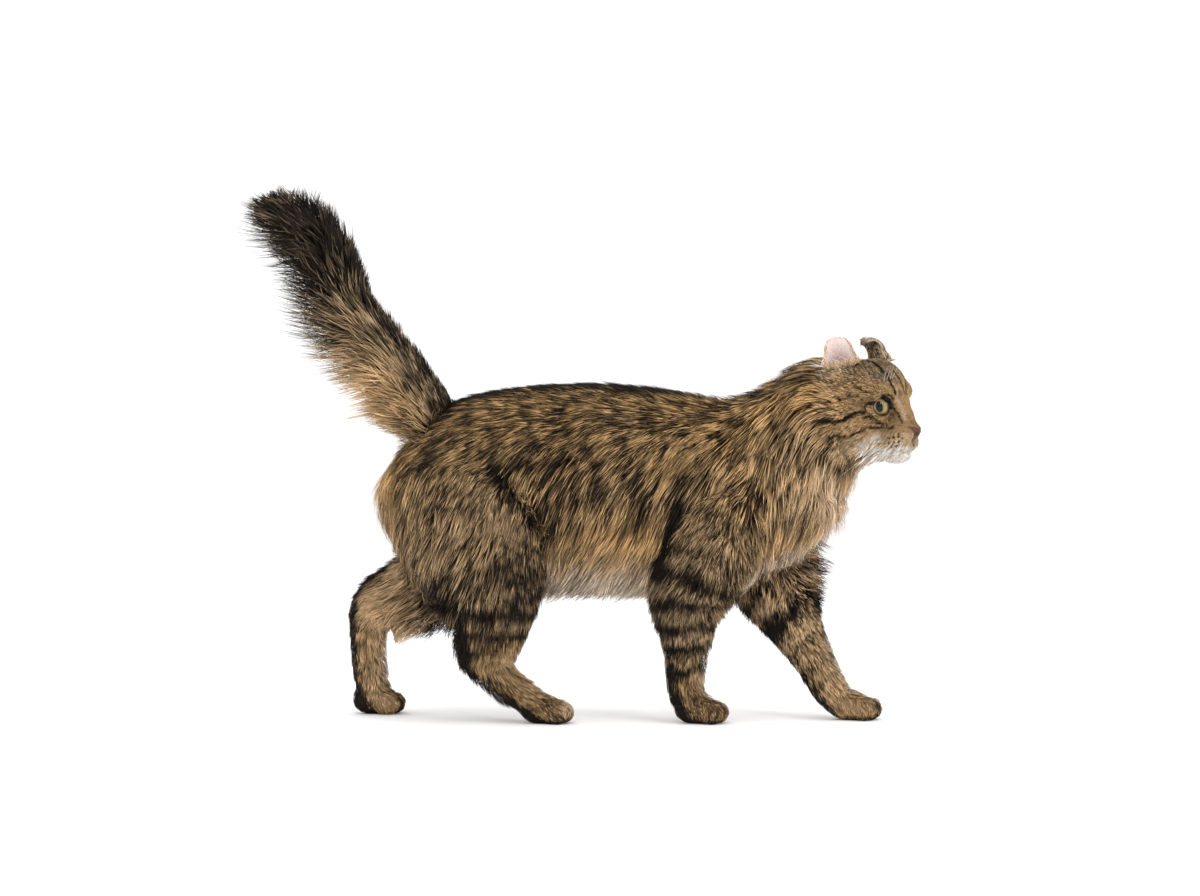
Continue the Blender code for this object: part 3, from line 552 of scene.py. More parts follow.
def add_tube(bm, rows):
    """A closed tube of rings along the rows."""
    count = (len(rows) - 1) * TUBE_STEPS + 1
    row, _, upper, left = tube_frames(rows, np.arange(count) / TUBE_STEPS)
    angles = np.arange(TUBE_SIDES) * 2 * math.pi / TUBE_SIDES
    rings = []
    for k in range(count):
        reach = np.outer(np.cos(angles) * row[k, 3], upper[k])
        reach += np.outer(np.sin(angles) * row[k, 4], left[k])
        rings.append([bm.verts.new(place) for place in row[k, :3] + reach])
    for first, second in zip(rings, rings[1:]):
        for n in range(TUBE_SIDES):
            m = (n + 1) % TUBE_SIDES
            bm.faces.new((first[n], first[m], second[m], second[n]))
    bm.faces.new(rings[0][::-1])
    bm.faces.new(rings[-1])


def add_ellipsoid(bm, centre, radii, turn):
    place = Matrix.Translation(centre) @ turn @ Matrix.Diagonal((*radii, 1))
    bmesh.ops.create_uvsphere(bm, u_segments=32, v_segments=22, radius=1, matrix=place)


def add_paw(bm, place):
    x, y, heading = place
    turn = Matrix.Rotation(math.radians(heading), 4, "Z")
    base = Vector((x, y, 0))
    add_ellipsoid(bm, base + Vector((0, 0, PALM_HEIGHT)), [r - PAW_COAT for r in PALM_RADII], turn)
    for forward, across in TOE_OFFSETS:
        toe = base + turn.to_3x3() @ Vector((forward, across, TOE_HEIGHT))
        add_ellipsoid(bm, toe, [r - PAW_COAT * 0.6 for r in TOE_RADII], turn)


def toe_creases(points, width):
    """1 on the lines between the toes of each paw and 0 away from them."""
    x, y, z = points.T
    lines = np.zeros(len(points))
    for paw_x, paw_y, heading in PAWS.values():
        turn = math.radians(heading)
        ahead = (x - paw_x) * math.cos(turn) + (y - paw_y) * math.sin(turn)
        across = np.abs((y - paw_y) * math.cos(turn) - (x - paw_x) * math.sin(turn))
        gap = np.minimum(across, np.abs(across - TOE_GAP))
        near = smooth(7, 14, ahead) * (1 - smooth(15, 20, z)) * (across < 15) * (ahead < 34)
        lines = np.maximum(lines, peak(gap, 0, width) * near)
    return lines


def add_skull(bm):
    """The head's surface, drawn in by the depth of its coat."""
    ball = bmesh.new()
    bmesh.ops.create_icosphere(ball, subdivisions=5, radius=1)
    outer = on_skull(np.array([vert.co for vert in ball.verts]) + SKULL_CENTRE)
    inner = from_head(outer - unit(outer - SKULL_CENTRE) * face_coat(outer)[:, None])
    made = {vert: bm.verts.new(place) for vert, place in zip(ball.verts, inner)}
    for face in ball.faces:
        bm.faces.new([made[vert] for vert in face.verts])
    ball.free()


def refine(bm, chosen):
    """Splits each edge whose ends are both chosen."""
    edges = [edge for edge in bm.edges if all(chosen[vert.index] for vert in edge.verts)]
    bmesh.ops.subdivide_edges(bm, edges=edges, cuts=1, use_grid_fill=True)
    bm.verts.index_update()


def vertex_array(vertices):
    return np.array([vertex.co for vertex in vertices])


def finished_mesh(bm, name):
    mesh = bpy.data.meshes.new(name)
    bm.to_mesh(mesh)
    bm.free()
    return mesh


def linked_object(name, data):
    made = bpy.data.objects.new(name, data)
    bpy.context.scene.collection.objects.link(made)
    return made


def cage_mesh():
    """The tubes, paws and skull joined into one smooth closed surface."""
    bm = bmesh.new()
    for rows in TUBES.values():
        add_tube(bm, rows)
    for place in PAWS.values():
        add_paw(bm, place)
    add_skull(bm)
    bmesh.ops.recalc_face_normals(bm, faces=bm.faces)
    cage = linked_object("skin_cage", finished_mesh(bm, "skin_cage"))
    remesh = cage.modifiers.new("Remesh", "REMESH")
    remesh.mode = "VOXEL"
    remesh.voxel_size = SKIN_VOXEL
    soften = cage.modifiers.new("Smooth", "SMOOTH")
    soften.factor = 0.5
    soften.iterations = 6
    graph = bpy.context.evaluated_depsgraph_get()
    graph.update()
    smoothed = bpy.data.meshes.new_from_object(cage.evaluated_get(graph))
    bpy.data.objects.remove(cage)
    return smoothed


def refine_face(bm):
    """Splits the faces of the head, and once or twice more round the eyes and the muzzle."""
    refine(bm, to_head(vertex_array(bm.verts))[:, 0] > -56)
    head = to_head(vertex_array(bm.verts))
    near_eye = np.linalg.norm(both_sides(head) - (-28, 21, 22), axis=1) < 16
    refine(bm, near_eye | (head[:, 0] > -20))
    head = to_head(vertex_array(bm.verts))
    refine(bm, np.linalg.norm(both_sides(head) - (-26, 23, 22), axis=1) < 13)


def shape_skin(places, outward):
    """Sinks the creases between the toes and lays the front of the head on its own shape."""
    places = places - outward * (TOE_CREASE * toe_creases(places, 1.8))[:, None]
    head = to_head(places)
    front = head[:, 0] > -60
    weight = smooth(-60, -50, head[front, 0])[:, None]
    moved = head[front]
    for _ in range(5):
        gap, slope = skull_gradient(moved)
        moved = moved - slope * (gap + face_coat(moved))[:, None] * weight
    places[front] = from_head(moved * (1 - weight) + shape_face(moved) * weight)
    places[:, 2] = np.maximum(places[:, 2], 0.25)
    return places


def make_skin_mesh():
    """The whole skin as one closed surface, with the face worked out finely."""
    bm = bmesh.new()
    bm.from_mesh(cage_mesh())
    refine_face(bm)
    bm.normal_update()
    outward = np.array([vert.normal for vert in bm.verts])
    for vert, place in zip(bm.verts, shape_skin(vertex_array(bm.verts), outward)):
        vert.co = place
    bmesh.ops.triangulate(bm, faces=bm.faces)
    return finished_mesh(bm, "skin")


# The markings

EYE_LINE = [(-26, 29, 25), (-32, 30, 25), (-38, 30, 23), (-45, 33, 19)]
EYE_LINE += [(-52, 38, 12), (-63, 39, 8), (-72, 37, 6)]
CHEEK_STRIPE = [(-20, 14, 5), (-24, 23, 4.5), (-30, 28, 4), (-36, 32, 2.6)]
CHEEK_STRIPE += [(-43, 35, -1), (-51, 37, -4), (-62, 38, -3)]
# The dark lines on the left side of the head, each with its half width and its strength.
STRIPE_LINES = [
    (EYE_LINE, 2.2, 1.05),
    (CHEEK_STRIPE, 1.9, 0.95),
    ([(-37, 30, 15), (-31, 29, 12), (-25, 26, 8.5), (-21, 17, 6)], 3.4, 0.75),
    ([(-20, 12, 21), (-18, 9.5, 16.5), (-15.5, 9.5, 13), (-12.3, 9.8, 9.5)], 1.6, 0.85),
    ([(-24, 24, 32), (-19, 19, 31), (-17, 15, 27)], 1.6, 0.8),
    ([(-24, 14.5, 50), (-19, 19, 41), (-16, 16, 32)], 1.5, 0.95),
    ([(-24, 6, 52), (-15, 4, 40), (-13, 2, 33)], 1.4, 0.9),
    ([(-62, 12, 64), (-39, 13, 61), (-31, 15, 56), (-27, 16, 52)], 2.2, 1.1),
    ([(-80, 0, 62), (-45, 0, 63), (-26, 0, 54)], 1.8, 0.8),
    ([(-44, 33, 30), (-56, 36, 28), (-66, 38, 26)], 2.2, 0.5),
    ([(-36, 30, 34), (-48, 34, 40), (-56, 36, 44)], 2.0, 0.5),
    ([(-60, 38, -3), (-66, 33, -16), (-60, 22, -24)], 2.4, 0.7),
]
# The pale strokes of the head, given in the same way.
PALE_LINES = [
    ([(-17, 18, 40), (-16, 12.5, 29.5), (-13.5, 8, 19.5), (-12, 6.5, 12)], 2.6, 0.62),
    ([(-60, 38, 54), (-66, 38, 50), (-76, 29, 46)], 6.0, 0.5),
    ([(-30, 22, -5), (-44, 28, -12)], 6.0, 0.85),
    ([(-62, 30, -20), (-74, 26, -26)], 12.0, 0.5),
]
CHEEK_LINE = [(-44, 37, 8), (-36, 33, 3), (-30, 28, 0)]


def laid_on_coat(line):
    """The line with three more points in each part, all laid on the coat's surface."""
    points = np.array(line, float)
    stations = np.arange(0, len(points) - 0.9, 0.25)
    dense = [np.interp(stations, np.arange(len(points)), values) for values in points.T]
    return to_coat_surface(np.array(dense).T)


HEAD_STRIPES = [(laid_on_coat(line), half, strength) for line, half, strength in STRIPE_LINES]
HEAD_PALES = [(laid_on_coat(line), half, strength) for line, half, strength in PALE_LINES]


# The dark bands of each leg: station, half width in stations and strength.
LEG_BANDS = {
    "foreleg_right": [
        (1.9, 0.16, 0.5), (2.6, 0.24, 1.0), (3.4, 0.2, 0.8),
        (4.3, 0.2, 0.8), (5.1, 0.2, 0.75), (6.0, 0.25, 0.6),
    ],
    "foreleg_left": [
        (2.1, 0.2, 0.6), (3.05, 0.25, 0.8), (4.1, 0.38, 1.0),
        (5.1, 0.18, 0.55), (5.9, 0.2, 0.6), (6.8, 0.25, 0.4),
    ],
    "hindleg_right": [
        (3.15, 0.12, 0.55), (3.65, 0.14, 0.7), (4.15, 0.16, 0.75),
        (4.8, 0.3, 0.9), (5.8, 0.3, 0.8), (6.7, 0.25, 0.5),
    ],
    "hindleg_left": [(2.6, 0.2, 0.5), (3.5, 0.25, 0.6), (4.6, 0.35, 0.7), (5.6, 0.3, 0.4)],
}
RUFF_PALEST = 0.72
TAIL_DARKEST = 0.83


def bands(stations, places):
    """The strength of the bands across a leg at the stations."""
    total = np.zeros(len(stations))
    for middle, half, strength in places:
        total = np.maximum(total, strength * peak(stations, middle, half))
    return total


def trunk_marks(points, place):
    """Dark, warm and pale shares over the trunk."""
    x, z = points[:, 0], points[:, 2]
    turn = np.degrees(np.abs(place["angle"]))
    wander = noise(points, 45, 1)
    blotch = noise(points, 30, 2)
    mottle = noise(points, 8, 3)
    wave = np.sin((x + 0.3 * (z - 180) + 17 * wander) * 2 * math.pi / 33)
    flank = smooth(20, 45, turn) * (1 - smooth(105, 140, turn))
    stripes = (smooth(-0.7, 0.9, wave) - 0.45) * flank * (0.9 + 0.4 * blotch)
    back_line = 1 - smooth(2, 36, turn + 9 * mottle + 9 * blotch + 5 * wander)
    thigh_fold = peak(x + z, 124, 17) * (1 - smooth(40, 66, np.abs(x - z + 245)))
    shoulder = peak(x, 64, 20) * peak(z, 204, 32)
    light = np.maximum(shoulder, 0.6 * peak(x, 36, 34) * peak(z, 150, 36))
    light *= 0.7 + 0.5 * np.sin((x - 0.3 * z) * 2 * math.pi / 15 + 3 * wander)
    dark = 0.58 + 0.18 * stripes + 0.07 * blotch + 0.18 * mottle + 0.46 * back_line
    dark += 0.3 * thigh_fold - 0.34 * smooth(95, 135, turn) - 0.42 * light * smooth(30, 50, turn)
    rear = smooth(-110, -150, x)
    warm = 0.6 + 0.3 * noise(points, 55, 4) + 0.3 * light + 0.4 * smooth(95, 140, turn)
    warm += 0.25 * smooth(100, 130, x) + 0.2 * rear
    pale = 0.74 * smooth(124, 154, turn) * (1 - 0.7 * rear) + 0.08 * smooth(80, 120, turn)
    return dark, warm, pale


def neck_marks(points, place):
    """Dark, warm and pale shares over the neck and its ruff."""
    s, turn = place["s"], np.degrees(np.abs(place["angle"]))
    streak = noise(points * (1, 1, 0.5), 9, 5)
    wave = np.sin((s * 2.2 + 0.6 * noise(points, 40, 6)) * 2 * math.pi / 1.5)
    bars = smooth(0.2, 0.9, wave) * smooth(40, 70, turn)
    nape = (1 - smooth(18, 50, turn)) * (1 - 0.7 * smooth(1.6, 3, s))
    ruff = peak(points[:, 0], 213, 14) * peak(points[:, 2], 213, 20)
    dark = 0.3 + 0.22 * streak + 0.22 * bars + 0.35 * nape
    dark -= 0.3 * smooth(110, 150, turn) + 0.35 * ruff
    warm = 0.75 - 0.3 * (1 - smooth(20, 50, turn)) + 0.2 * streak
    pale = 0.25 * smooth(60, 100, turn) + 0.45 * smooth(105, 150, turn) + 0.5 * ruff
    return dark, warm, np.minimum(pale, RUFF_PALEST)


def tail_marks(points, place):
    """Dark, warm and pale shares over the tail."""
    s, under = place["s"], np.cos(place["angle"])
    streak = noise(points, 10, 7)
    tip = smooth(4.2, 6.8, s + 0.4 * streak)
    upper = smooth(0.1, 0.8, -under) * smooth(0.5, 1.5, s)
    tan = smooth(-0.2, 0.8, under) * (1 - smooth(2.4, 4.4, s))
    root = peak(s, 0.3, 0.7) * (1 - smooth(0.3, 0.9, under))
    dark = 0.4 + 0.16 * streak + 0.6 * tip + 0.4 * upper - 0.3 * tan + 0.45 * root
    warm = 0.1 + 0.8 * tan - 0.1 * tip
    strands = smooth(0.3, 0.8, noise(points * (1, 1, 0.6), 9, 17))
    pale = 0.25 * tan + 0.2 * strands * (1 - tip)
    return np.minimum(dark, TAIL_DARKEST), warm, pale


def leg_marks(name, points, place):
    """Dark, warm and pale shares over a leg."""
    s, front, z = place["s"], np.cos(place["angle"]), points[:, 2]
    side = 1 if name.endswith("left") else -1
    hind = name.startswith("hind")
    inner = smooth(0.2, 0.9, -np.sin(place["angle"]) * side)
    across = bands(s + 0.12 * noise(points, 16, 9) + 0.12 * front, LEG_BANDS[name])
    across *= 0.75 + 0.25 * smooth(-0.8, 0.6, front if hind else -front)
    dark = 0.31 + 0.16 * noise(points, 8, 8) + 0.95 * across
    if hind:
        dark += thigh_stripes(points, s, front)
    lower, above_paw = smooth(5.0, 6.6, s), smooth(18, 28, z)
    dark += (0.48 if hind else 0.35) * lower * smooth(0.1, 0.8, -front)
    dark += 0.2 * smooth(3, 4, s) * smooth(0.2, 0.8, -front)
    dark -= 0.2 * lower * smooth(-0.2, 0.6, front) * above_paw
    dark += 0.16 * (1 - smooth(14, 26, z)) - 0.3 * inner * smooth(1.5, 3, s)
    warm = 0.28 + 0.4 * lower + 0.45 * inner
    pale = 0.08 + 0.25 * inner + 0.15 * lower * smooth(0, 0.7, front) * above_paw
    sole = 1 - smooth(1, 5, z)
    return dark + 0.4 * sole, warm, pale * (1 - sole)


def thigh_stripes(points, s, front):
    """Thin slanting stripes on the front of a thigh."""
    slant = points[:, 2] + 0.45 * points[:, 0] + 4 * noise(points, 20, 10)
    fine = smooth(-0.5, 0.7, np.sin(slant * 2 * math.pi / 9.5)) * smooth(-0.1, 0.4, front)
    fine *= smooth(2.1, 2.8, s) * (1 - smooth(4.4, 5.0, s))
    return 0.8 * (fine - 0.35 * (fine > 0))


def head_ground(head, folded, bent):
    """Dark, warm and pale shares of the head under its lines and spots."""
    fleck = noise(head, 2.5, 11)
    crown = smooth(36, 54, head[:, 2])
    cheek = peak(line_distance(folded, CHEEK_LINE), 0, 7)
    dark = 0.22 + 0.3 * fleck + 0.26 * crown + 0.14 * noise(head, 9, 16) - 0.14 * cheek
    warm = 0.75 + 0.25 * noise(head, 18, 15) - 0.6 * crown + 0.3 * cheek
    pale = 0.16 + 0.1 * fleck
    for line, half, strength in HEAD_PALES:
        pale = np.maximum(pale, strength * np.exp(-((line_distance(bent, line) / half) ** 4)))
    x, y, z = bent.T
    muzzle = 0.66 * smooth(3.5, -2.5, z + fleck) * smooth(-28, -21, x)
    jaw = smooth(-8, -13, z) * smooth(-62, -46, x) * (1 - smooth(24, 31, y))
    pale = np.maximum(pale, np.maximum(muzzle, jaw))
    dark = dark * (1 - 0.9 * pale)
    bridge = peak(folded[:, 1], 0, 6) * smooth(-24, -12, head[:, 0]) * smooth(-2, 6, head[:, 2])
    brick = bridge * (1 - smooth(6, 18, head[:, 2]))
    dark = dark * (1 - 0.8 * bridge) + 0.42 * brick
    return dark, np.maximum(warm, bridge), pale * (1 - brick)


def face_lines(folded, bent):
    """The strength of the whisker spots and the dark lines of the face."""
    lines = np.zeros(len(folded))
    for spot in SPOTS:
        gap = np.linalg.norm(folded - spot, axis=1)
        lines = np.maximum(lines, peak(gap, 0, SPOT_RADIUS))
    for line, half, strength in HEAD_STRIPES:
        lines = np.maximum(lines, strength * peak(line_distance(bent, line), 0, half))
    return lines


def head_marks(head):
    """Dark, warm and pale shares over the head, in its own frame."""
    head = to_coat_surface(head)
    folded = both_sides(head)
    bent = folded + 0.8 * np.stack([noise(head, 8, seed) for seed in (12, 13, 14)], 1)
    dark, warm, pale = head_ground(head, folded, bent)
    lines = face_lines(folded, bent)
    for side in (-1, 1):
        opening, below = lid_place(head, side)
        lines = np.maximum(lines, 1 - smooth(1.0, 1.1, opening))
        ring = peak(opening, 1.24, 0.12) * smooth(3, -4, below[:, 2])
        pale = np.maximum(pale, 0.5 * ring)
        dark = dark * (1 - 0.6 * ring)
    lines = np.clip(lines, 0, 1)
    lips = 0.5 * peak(line_distance(folded, LIPS[1:]), 0, 0.9)
    dark = np.maximum(np.maximum(dark, lines), lips)
    return dark, warm, pale * (1 - lines) * (1 - lips)


def paw_share(points):
    """1 on the paws and 0 above them."""
    return 1 - smooth(16, 26, points[:, 2])


# The marks of the white throat, and how it lies against the long hair there.
WHITE_MARKS = (0.05, 0.4, 0.9)
WHITE_RISE = np.array((-2, 10, -10))


def elbow_shadow_line(points):
    """1 along the painted shadow line that runs down behind the shoulder to the elbow."""
    x, y, z = points.T
    fold = peak(x - 0.27 * (z - 136), 62, 5) * smooth(110, 125, z) * (1 - smooth(195, 220, z))
    return fold * smooth(22, 32, np.abs(y)) * (1 - 0.5 * smooth(160, 200, z))


TUBE_MARKS = {"trunk": trunk_marks, "neck": neck_marks, "tail": tail_marks}


def markings(points, places):
    """The dark, warm and pale shares of the coat at the points."""
    marks = np.zeros((3, len(points)))
    for name, place in places.items():
        if name in TUBE_MARKS:
            own = TUBE_MARKS[name](points, place)
        else:
            own = leg_marks(name, points, place)
        marks += np.array(own) * place["share"]
    # The first term paints a shadow line that runs behind the shoulder down to the elbow.
    # The second term paints shade along the creases between the toes.
    marks[0] += 0.75 * elbow_shadow_line(points) + 0.38 * toe_creases(points, 1.3)
    head = to_head(points)
    share = head_share(head, -84, -66)
    own = share > 0
    marks[:, own] *= 1 - share[own]
    marks[:, own] += np.array(head_marks(head[own])) * share[own]
    throat = throat_share(points + WHITE_RISE) ** 1.5
    marks = marks * (1 - throat) + np.array(WHITE_MARKS)[:, None] * throat
    return np.clip(marks, 0, 1)


# The coat

def tube_lie(name, points, place):
    """Which way the coat of one tube lies at the points."""
    tangent, turn = place["tangent"], np.degrees(np.abs(place["angle"]))
    level = np.zeros(len(points))
    if name == "trunk":
        own = np.stack((level - 1, level, -0.1 - 1.7 * smooth(25, 110, turn)), 1)
        front = smooth(120, 165, points[:, 0])[:, None]
        own = own * (1 - front) + np.array((-0.25, 0, -1.2)) * front
        rear = smooth(-112, -146, points[:, 0])[:, None]
        return own * (1 - rear) + np.array((-0.3, 0, -1.2)) * rear
    if name == "neck":
        hang = np.stack((level - 0.3, level, -0.2 - 1.2 * smooth(30, 110, turn)), 1)
        return hang - 0.6 * tangent
    if name.startswith("hind"):
        return tangent + np.array((-0.6, 0, 0)) * (1 - smooth(2, 5, place["s"]))[:, None]
    return tangent


def lie_of_coat(points, normals, places):
    """Which way the coat lies at each point."""
    lie = np.zeros_like(points)
    for name, place in places.items():
        lie += unit(tube_lie(name, points, place)) * place["share"][:, None]
    head = to_head(points)
    away = from_head(head - (12, 0, 20)) - np.array(NOSE_TIP)
    away = unit(away) + np.array((0, 0, -0.3)) * smooth(26, 0, head[:, 2])[:, None]
    share = head_share(head, -84, -60)[:, None]
    lie = lie * (1 - share) + unit(away) * share
    throat = throat_share(points)[:, None]
    lie = lie * (1 - throat) + np.array((-0.7, 0, -0.7)) * throat
    bend = np.stack([noise(points, 26, seed) for seed in (21, 22, 23)], 1)
    return along_surface(unit(lie) + 0.3 * bend, normals)


# For each tube: least length, length for each millimetre of depth, cling, clump size and rise.
COAT_BUILD = {
    "trunk": (15, 1.0, 0.85, 4.5, 0.6),
    "neck": (18, 1.0, 0.8, 8, 0.6),
    "tail": (7, 1.25, 0.12, 5.5, 0.85),
    "foreleg_right": (8, 1.0, 0.9, 4.5, 0.6),
    "foreleg_left": (8, 1.0, 0.9, 4.5, 0.6),
    "hindleg_right": (9, 1.2, 0.85, 6, 0.6),
    "hindleg_left": (9, 1.2, 0.85, 6, 0.6),
}
PAW_BUILD = (6.0, PAW_COAT, 0.95, 2.5, 0.6)
# The station on each leg below which its coat is short.
SHORT_FROM = {"foreleg_right": 4.6, "foreleg_left": 4.6, "hindleg_right": 7.2, "hindleg_left": 6.8}
THROAT = (235, -17, 220)
THROAT_RADII = (17, 26, 19)
THROAT_DEPTH = 19


def throat_share(points):
    """1 in the middle of the long hair under the chin, fading round it."""
    return np.exp(-(((points - THROAT) / THROAT_RADII) ** 2).sum(1))


def coat_reach(name, place, points):
    """How much deeper the tufts stand than the coat's plain depth."""
    s, front = place["s"], np.cos(place["angle"])
    if name == "tail":
        under = smooth(0, 0.8, front)
        reach = 1 + under * (0.32 * (1 - smooth(6.5, 8.5, s)) + 0.4 * (1 - smooth(0.8, 2, s)))
        return reach - 0.35 * smooth(7.5, 9, s) * smooth(0.3, -0.6, front)
    if name == "trunk":
        fringe = peak(points[:, 0], -45, 28) * smooth(0.2, -0.7, front)
        return 1.08 + 0.16 * fringe - 0.25 * smooth(-128, -150, points[:, 0])
    if name == "hindleg_right":
        return 1.1 + 0.6 * smooth(6.5, 8, s) * smooth(0.2, -0.6, front)
    if name == "neck":
        return 1.1
    return 1.1 + 0.28 * front


def coat_build(points, places):
    """Length, depth, cling, clump size and rise of the coat at the points."""
    build = np.zeros((5, len(points)))
    for name, place in places.items():
        least, each, *rest = COAT_BUILD[name]
        length = least + each * place["depth"]
        if name == "tail":
            above = smooth(0.3, -0.6, np.cos(place["angle"]))
            length = length * (1 - 0.45 * smooth(8, 10.5, place["s"]))
            length = length * (1 - 0.35 * above * smooth(6.2, 7.6, place["s"]))
        depth = place["depth"] * coat_reach(name, place, points)
        build[:2] += np.stack((length, depth)) * place["share"]
        build[2:] += np.array(rest)[:, None] * place["share"]
    paw = paw_share(points)
    build = build * (1 - paw) + np.array(PAW_BUILD)[:, None] * paw
    head = to_head(points)
    share = head_share(head, -78, -56)
    depth = face_coat(head)
    same = np.ones(len(points))
    own = np.stack((1.8 + 1.15 * depth, depth, 0.9 * same, 1.0 + 0.6 * depth, 0.6 * same))
    build = build * (1 - share) + own * share
    throat = throat_share(points)
    build[0] += 1.15 * THROAT_DEPTH * throat
    build[1] += THROAT_DEPTH * throat
    return build


def nearest(tree, points):
    """The nearest places on the skin and their normals."""
    found = [tree.find_nearest(point) for point in points]
    places = np.array([hit[0] for hit in found])
    normals = np.array([hit[1] for hit in found])
    return places, normals


def clump_leaders(roots, clump):
    """For each root the nearest root that leads a clump."""
    leaders = np.nonzero(draw.random(len(roots)) < np.minimum(1, LEAD_SHARE / clump**2))[0]
    tree = KDTree(len(leaders))
    for k, leader in enumerate(leaders):
        tree.insert(roots[leader], k)
    tree.balance()
    return leaders[[tree.find(root)[1] for root in roots]]


def gather(line, steps, leader, clump, across, length):
    """Draws the tufts towards their leaders and gives each clump a reach and each tuft a sway."""
    count = len(leader)
    pull = draw.uniform(0.25, 0.7, count)[leader] * smooth(-1, 5, clump)
    reach = draw.uniform(0.82, 1.08, count)[leader]
    sway = draw.normal(0, 0.05, count) * length
    for k, step in enumerate((0.0, *steps)):
        line[k] += (line[k][leader] - line[k]) * (pull * step**1.3)[:, None]
        line[k] = line[0] + (line[k] - line[0]) * (1 + (reach - 1) * step)[:, None]
        line[k] += across * (sway * step**1.6)[:, None]
    line[:, :, 2] = np.maximum(line[:, :, 2], 0.3)


def grow_tufts(tree, roots, normals, places, steps):
    """The centre points of each tuft and the leader of its clump."""
    length, depth, cling, clump, rise = coat_build(roots, places)
    lie = lie_of_coat(roots, normals, places)
    length = length * draw.uniform(0.78, 1.15, len(roots))
    depth = depth * (0.45 + 0.6 * draw.random(len(roots)) ** 0.6)
    run = np.sqrt(np.maximum(length**2 - depth**2, (0.35 * length) ** 2))
    cling = cling[:, None]
    line = [roots - normals * 0.8]
    base, upright, done = roots, normals, 0.0
    for step in steps:
        ahead = base + lie * (run * (step - done))[:, None]
        near, facing = nearest(tree, ahead)
        base = near * cling + ahead * (1 - cling)
        upright = unit(facing * cling + upright * (1 - cling))
        lie = along_surface(lie, upright)
        line.append(base + upright * (depth * step**rise)[:, None])
        done = step
    line = np.array(line)
    leader = clump_leaders(roots, clump)
    gather(line, steps, leader, clump, unit(np.cross(lie, upright)), length)
    return line, leader


def tuft_arrays(line, upright, width):
    """Corners and triangles of closed spindles with three-sided sections along the lines."""
    count = line.shape[1]
    shares = (1.0, 0.62) if len(line) == 4 else (1.0,)
    corners = [line[0]]
    for k, share in zip(range(1, len(line) - 1), shares):
        ahead = unit(line[k + 1] - line[k - 1])
        across = unit(np.cross(ahead, upright))
        up = np.cross(across, ahead)
        half = (width * share / 2)[:, None]
        corners += [line[k] + across * half, line[k] + up * half * 0.7, line[k] - across * half]
    corners.append(line[-1])
    stride = len(corners)
    faces = [(0, 1, 2), (0, 2, 3), (0, 3, 1)]
    for ring in range(len(shares) - 1):
        a = 1 + 3 * ring
        for near, far in ((0, 1), (1, 2), (2, 0)):
            faces.append((a + near, a + 3 + near, a + 3 + far))
            faces.append((a + near, a + 3 + far, a + far))
    a = stride - 4
    faces += [(a, stride - 1, a + 1), (a + 1, stride - 1, a + 2), (a + 2, stride - 1, a)]
    corners = np.stack(corners, 1).reshape(-1, 3)
    faces = (np.arange(count)[:, None, None] * stride + np.array(faces)).reshape(-1, 3)
    return corners, faces, stride


def to_frame(points):
    """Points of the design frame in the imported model's, in metres."""
    return np.asarray(points) * MM + np.array(SHIFT)


def turned_outward(mesh):
    """The same mesh with all its faces turned outward."""
    bm = bmesh.new()
    bm.from_mesh(mesh)
    bmesh.ops.recalc_face_normals(bm, faces=bm.faces)
    bm.to_mesh(mesh)
    bm.free()
    return mesh


def mesh_from_arrays(name, corners, faces):
    mesh = bpy.data.meshes.new(name)
    mesh.vertices.add(len(corners))
    mesh.vertices.foreach_set("co", to_frame(corners).astype(np.float32).ravel())
    mesh.loops.add(faces.size)
    mesh.loops.foreach_set("vertex_index", faces.astype(np.int32).ravel())
    mesh.polygons.add(len(faces))
    mesh.polygons.foreach_set("loop_start", np.arange(0, faces.size, 3, dtype=np.int32))
    mesh.update(calc_edges=True)
    mesh.shade_smooth()
    return mesh


def struck(marks, chance):
    """The markings once chance has made each tuft lighter or darker, least where they are plain."""
    dark = marks[0]
    spread = DARK_SPREAD * (1 - 0.75 * (2 * dark - 1) ** 2)
    dark = smooth(0.15, 0.85, dark + (0.5 - chance) * spread)
    return np.stack((dark, *marks[1:]))


def set_marks(mesh, marks, chance, strand):
    """Stores the markings, a chance value and the place along the strand on the points."""
    colour = mesh.attributes.new("mark", "FLOAT_COLOR", "POINT")
    values = np.stack((*marks, chance), 1).astype(np.float32)
    colour.data.foreach_set("color", values.ravel())
    place = mesh.attributes.new("strand", "FLOAT", "POINT")
    place.data.foreach_set("value", np.asarray(strand, np.float32).ravel())


def link_piece(name, mesh, material):
    """Makes a piece of the mesh that rides on the body with its material and slot."""
    piece = linked_object(name, mesh)
    mesh.materials.append(material)
    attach(piece, "root")
    return piece


def sample_roots(mesh_points, mesh_normals, triangles, density, count):
    """Points spread over the triangles in proportion to their density."""
    a, b, c = (mesh_points[triangles[:, k]] for k in range(3))
    area = np.linalg.norm(np.cross(b - a, c - a), axis=1) / 2 * density
    edges = np.cumsum(area)
    ticks = (np.arange(count) + draw.random(count)) / count * edges[-1]
    face = np.searchsorted(edges, ticks).clip(0, len(triangles) - 1)
    u, v = draw.random((2, count))
    flip = u + v > 1
    u[flip], v[flip] = 1 - u[flip], 1 - v[flip]
    w = 1 - u - v
    corners = triangles[face]
    roots = sum(mesh_points[corners[:, k]] * part[:, None] for k, part in enumerate((w, u, v)))
    normals = sum(mesh_normals[corners[:, k]] * part[:, None] for k, part in enumerate((w, u, v)))
    return roots, unit(normals)


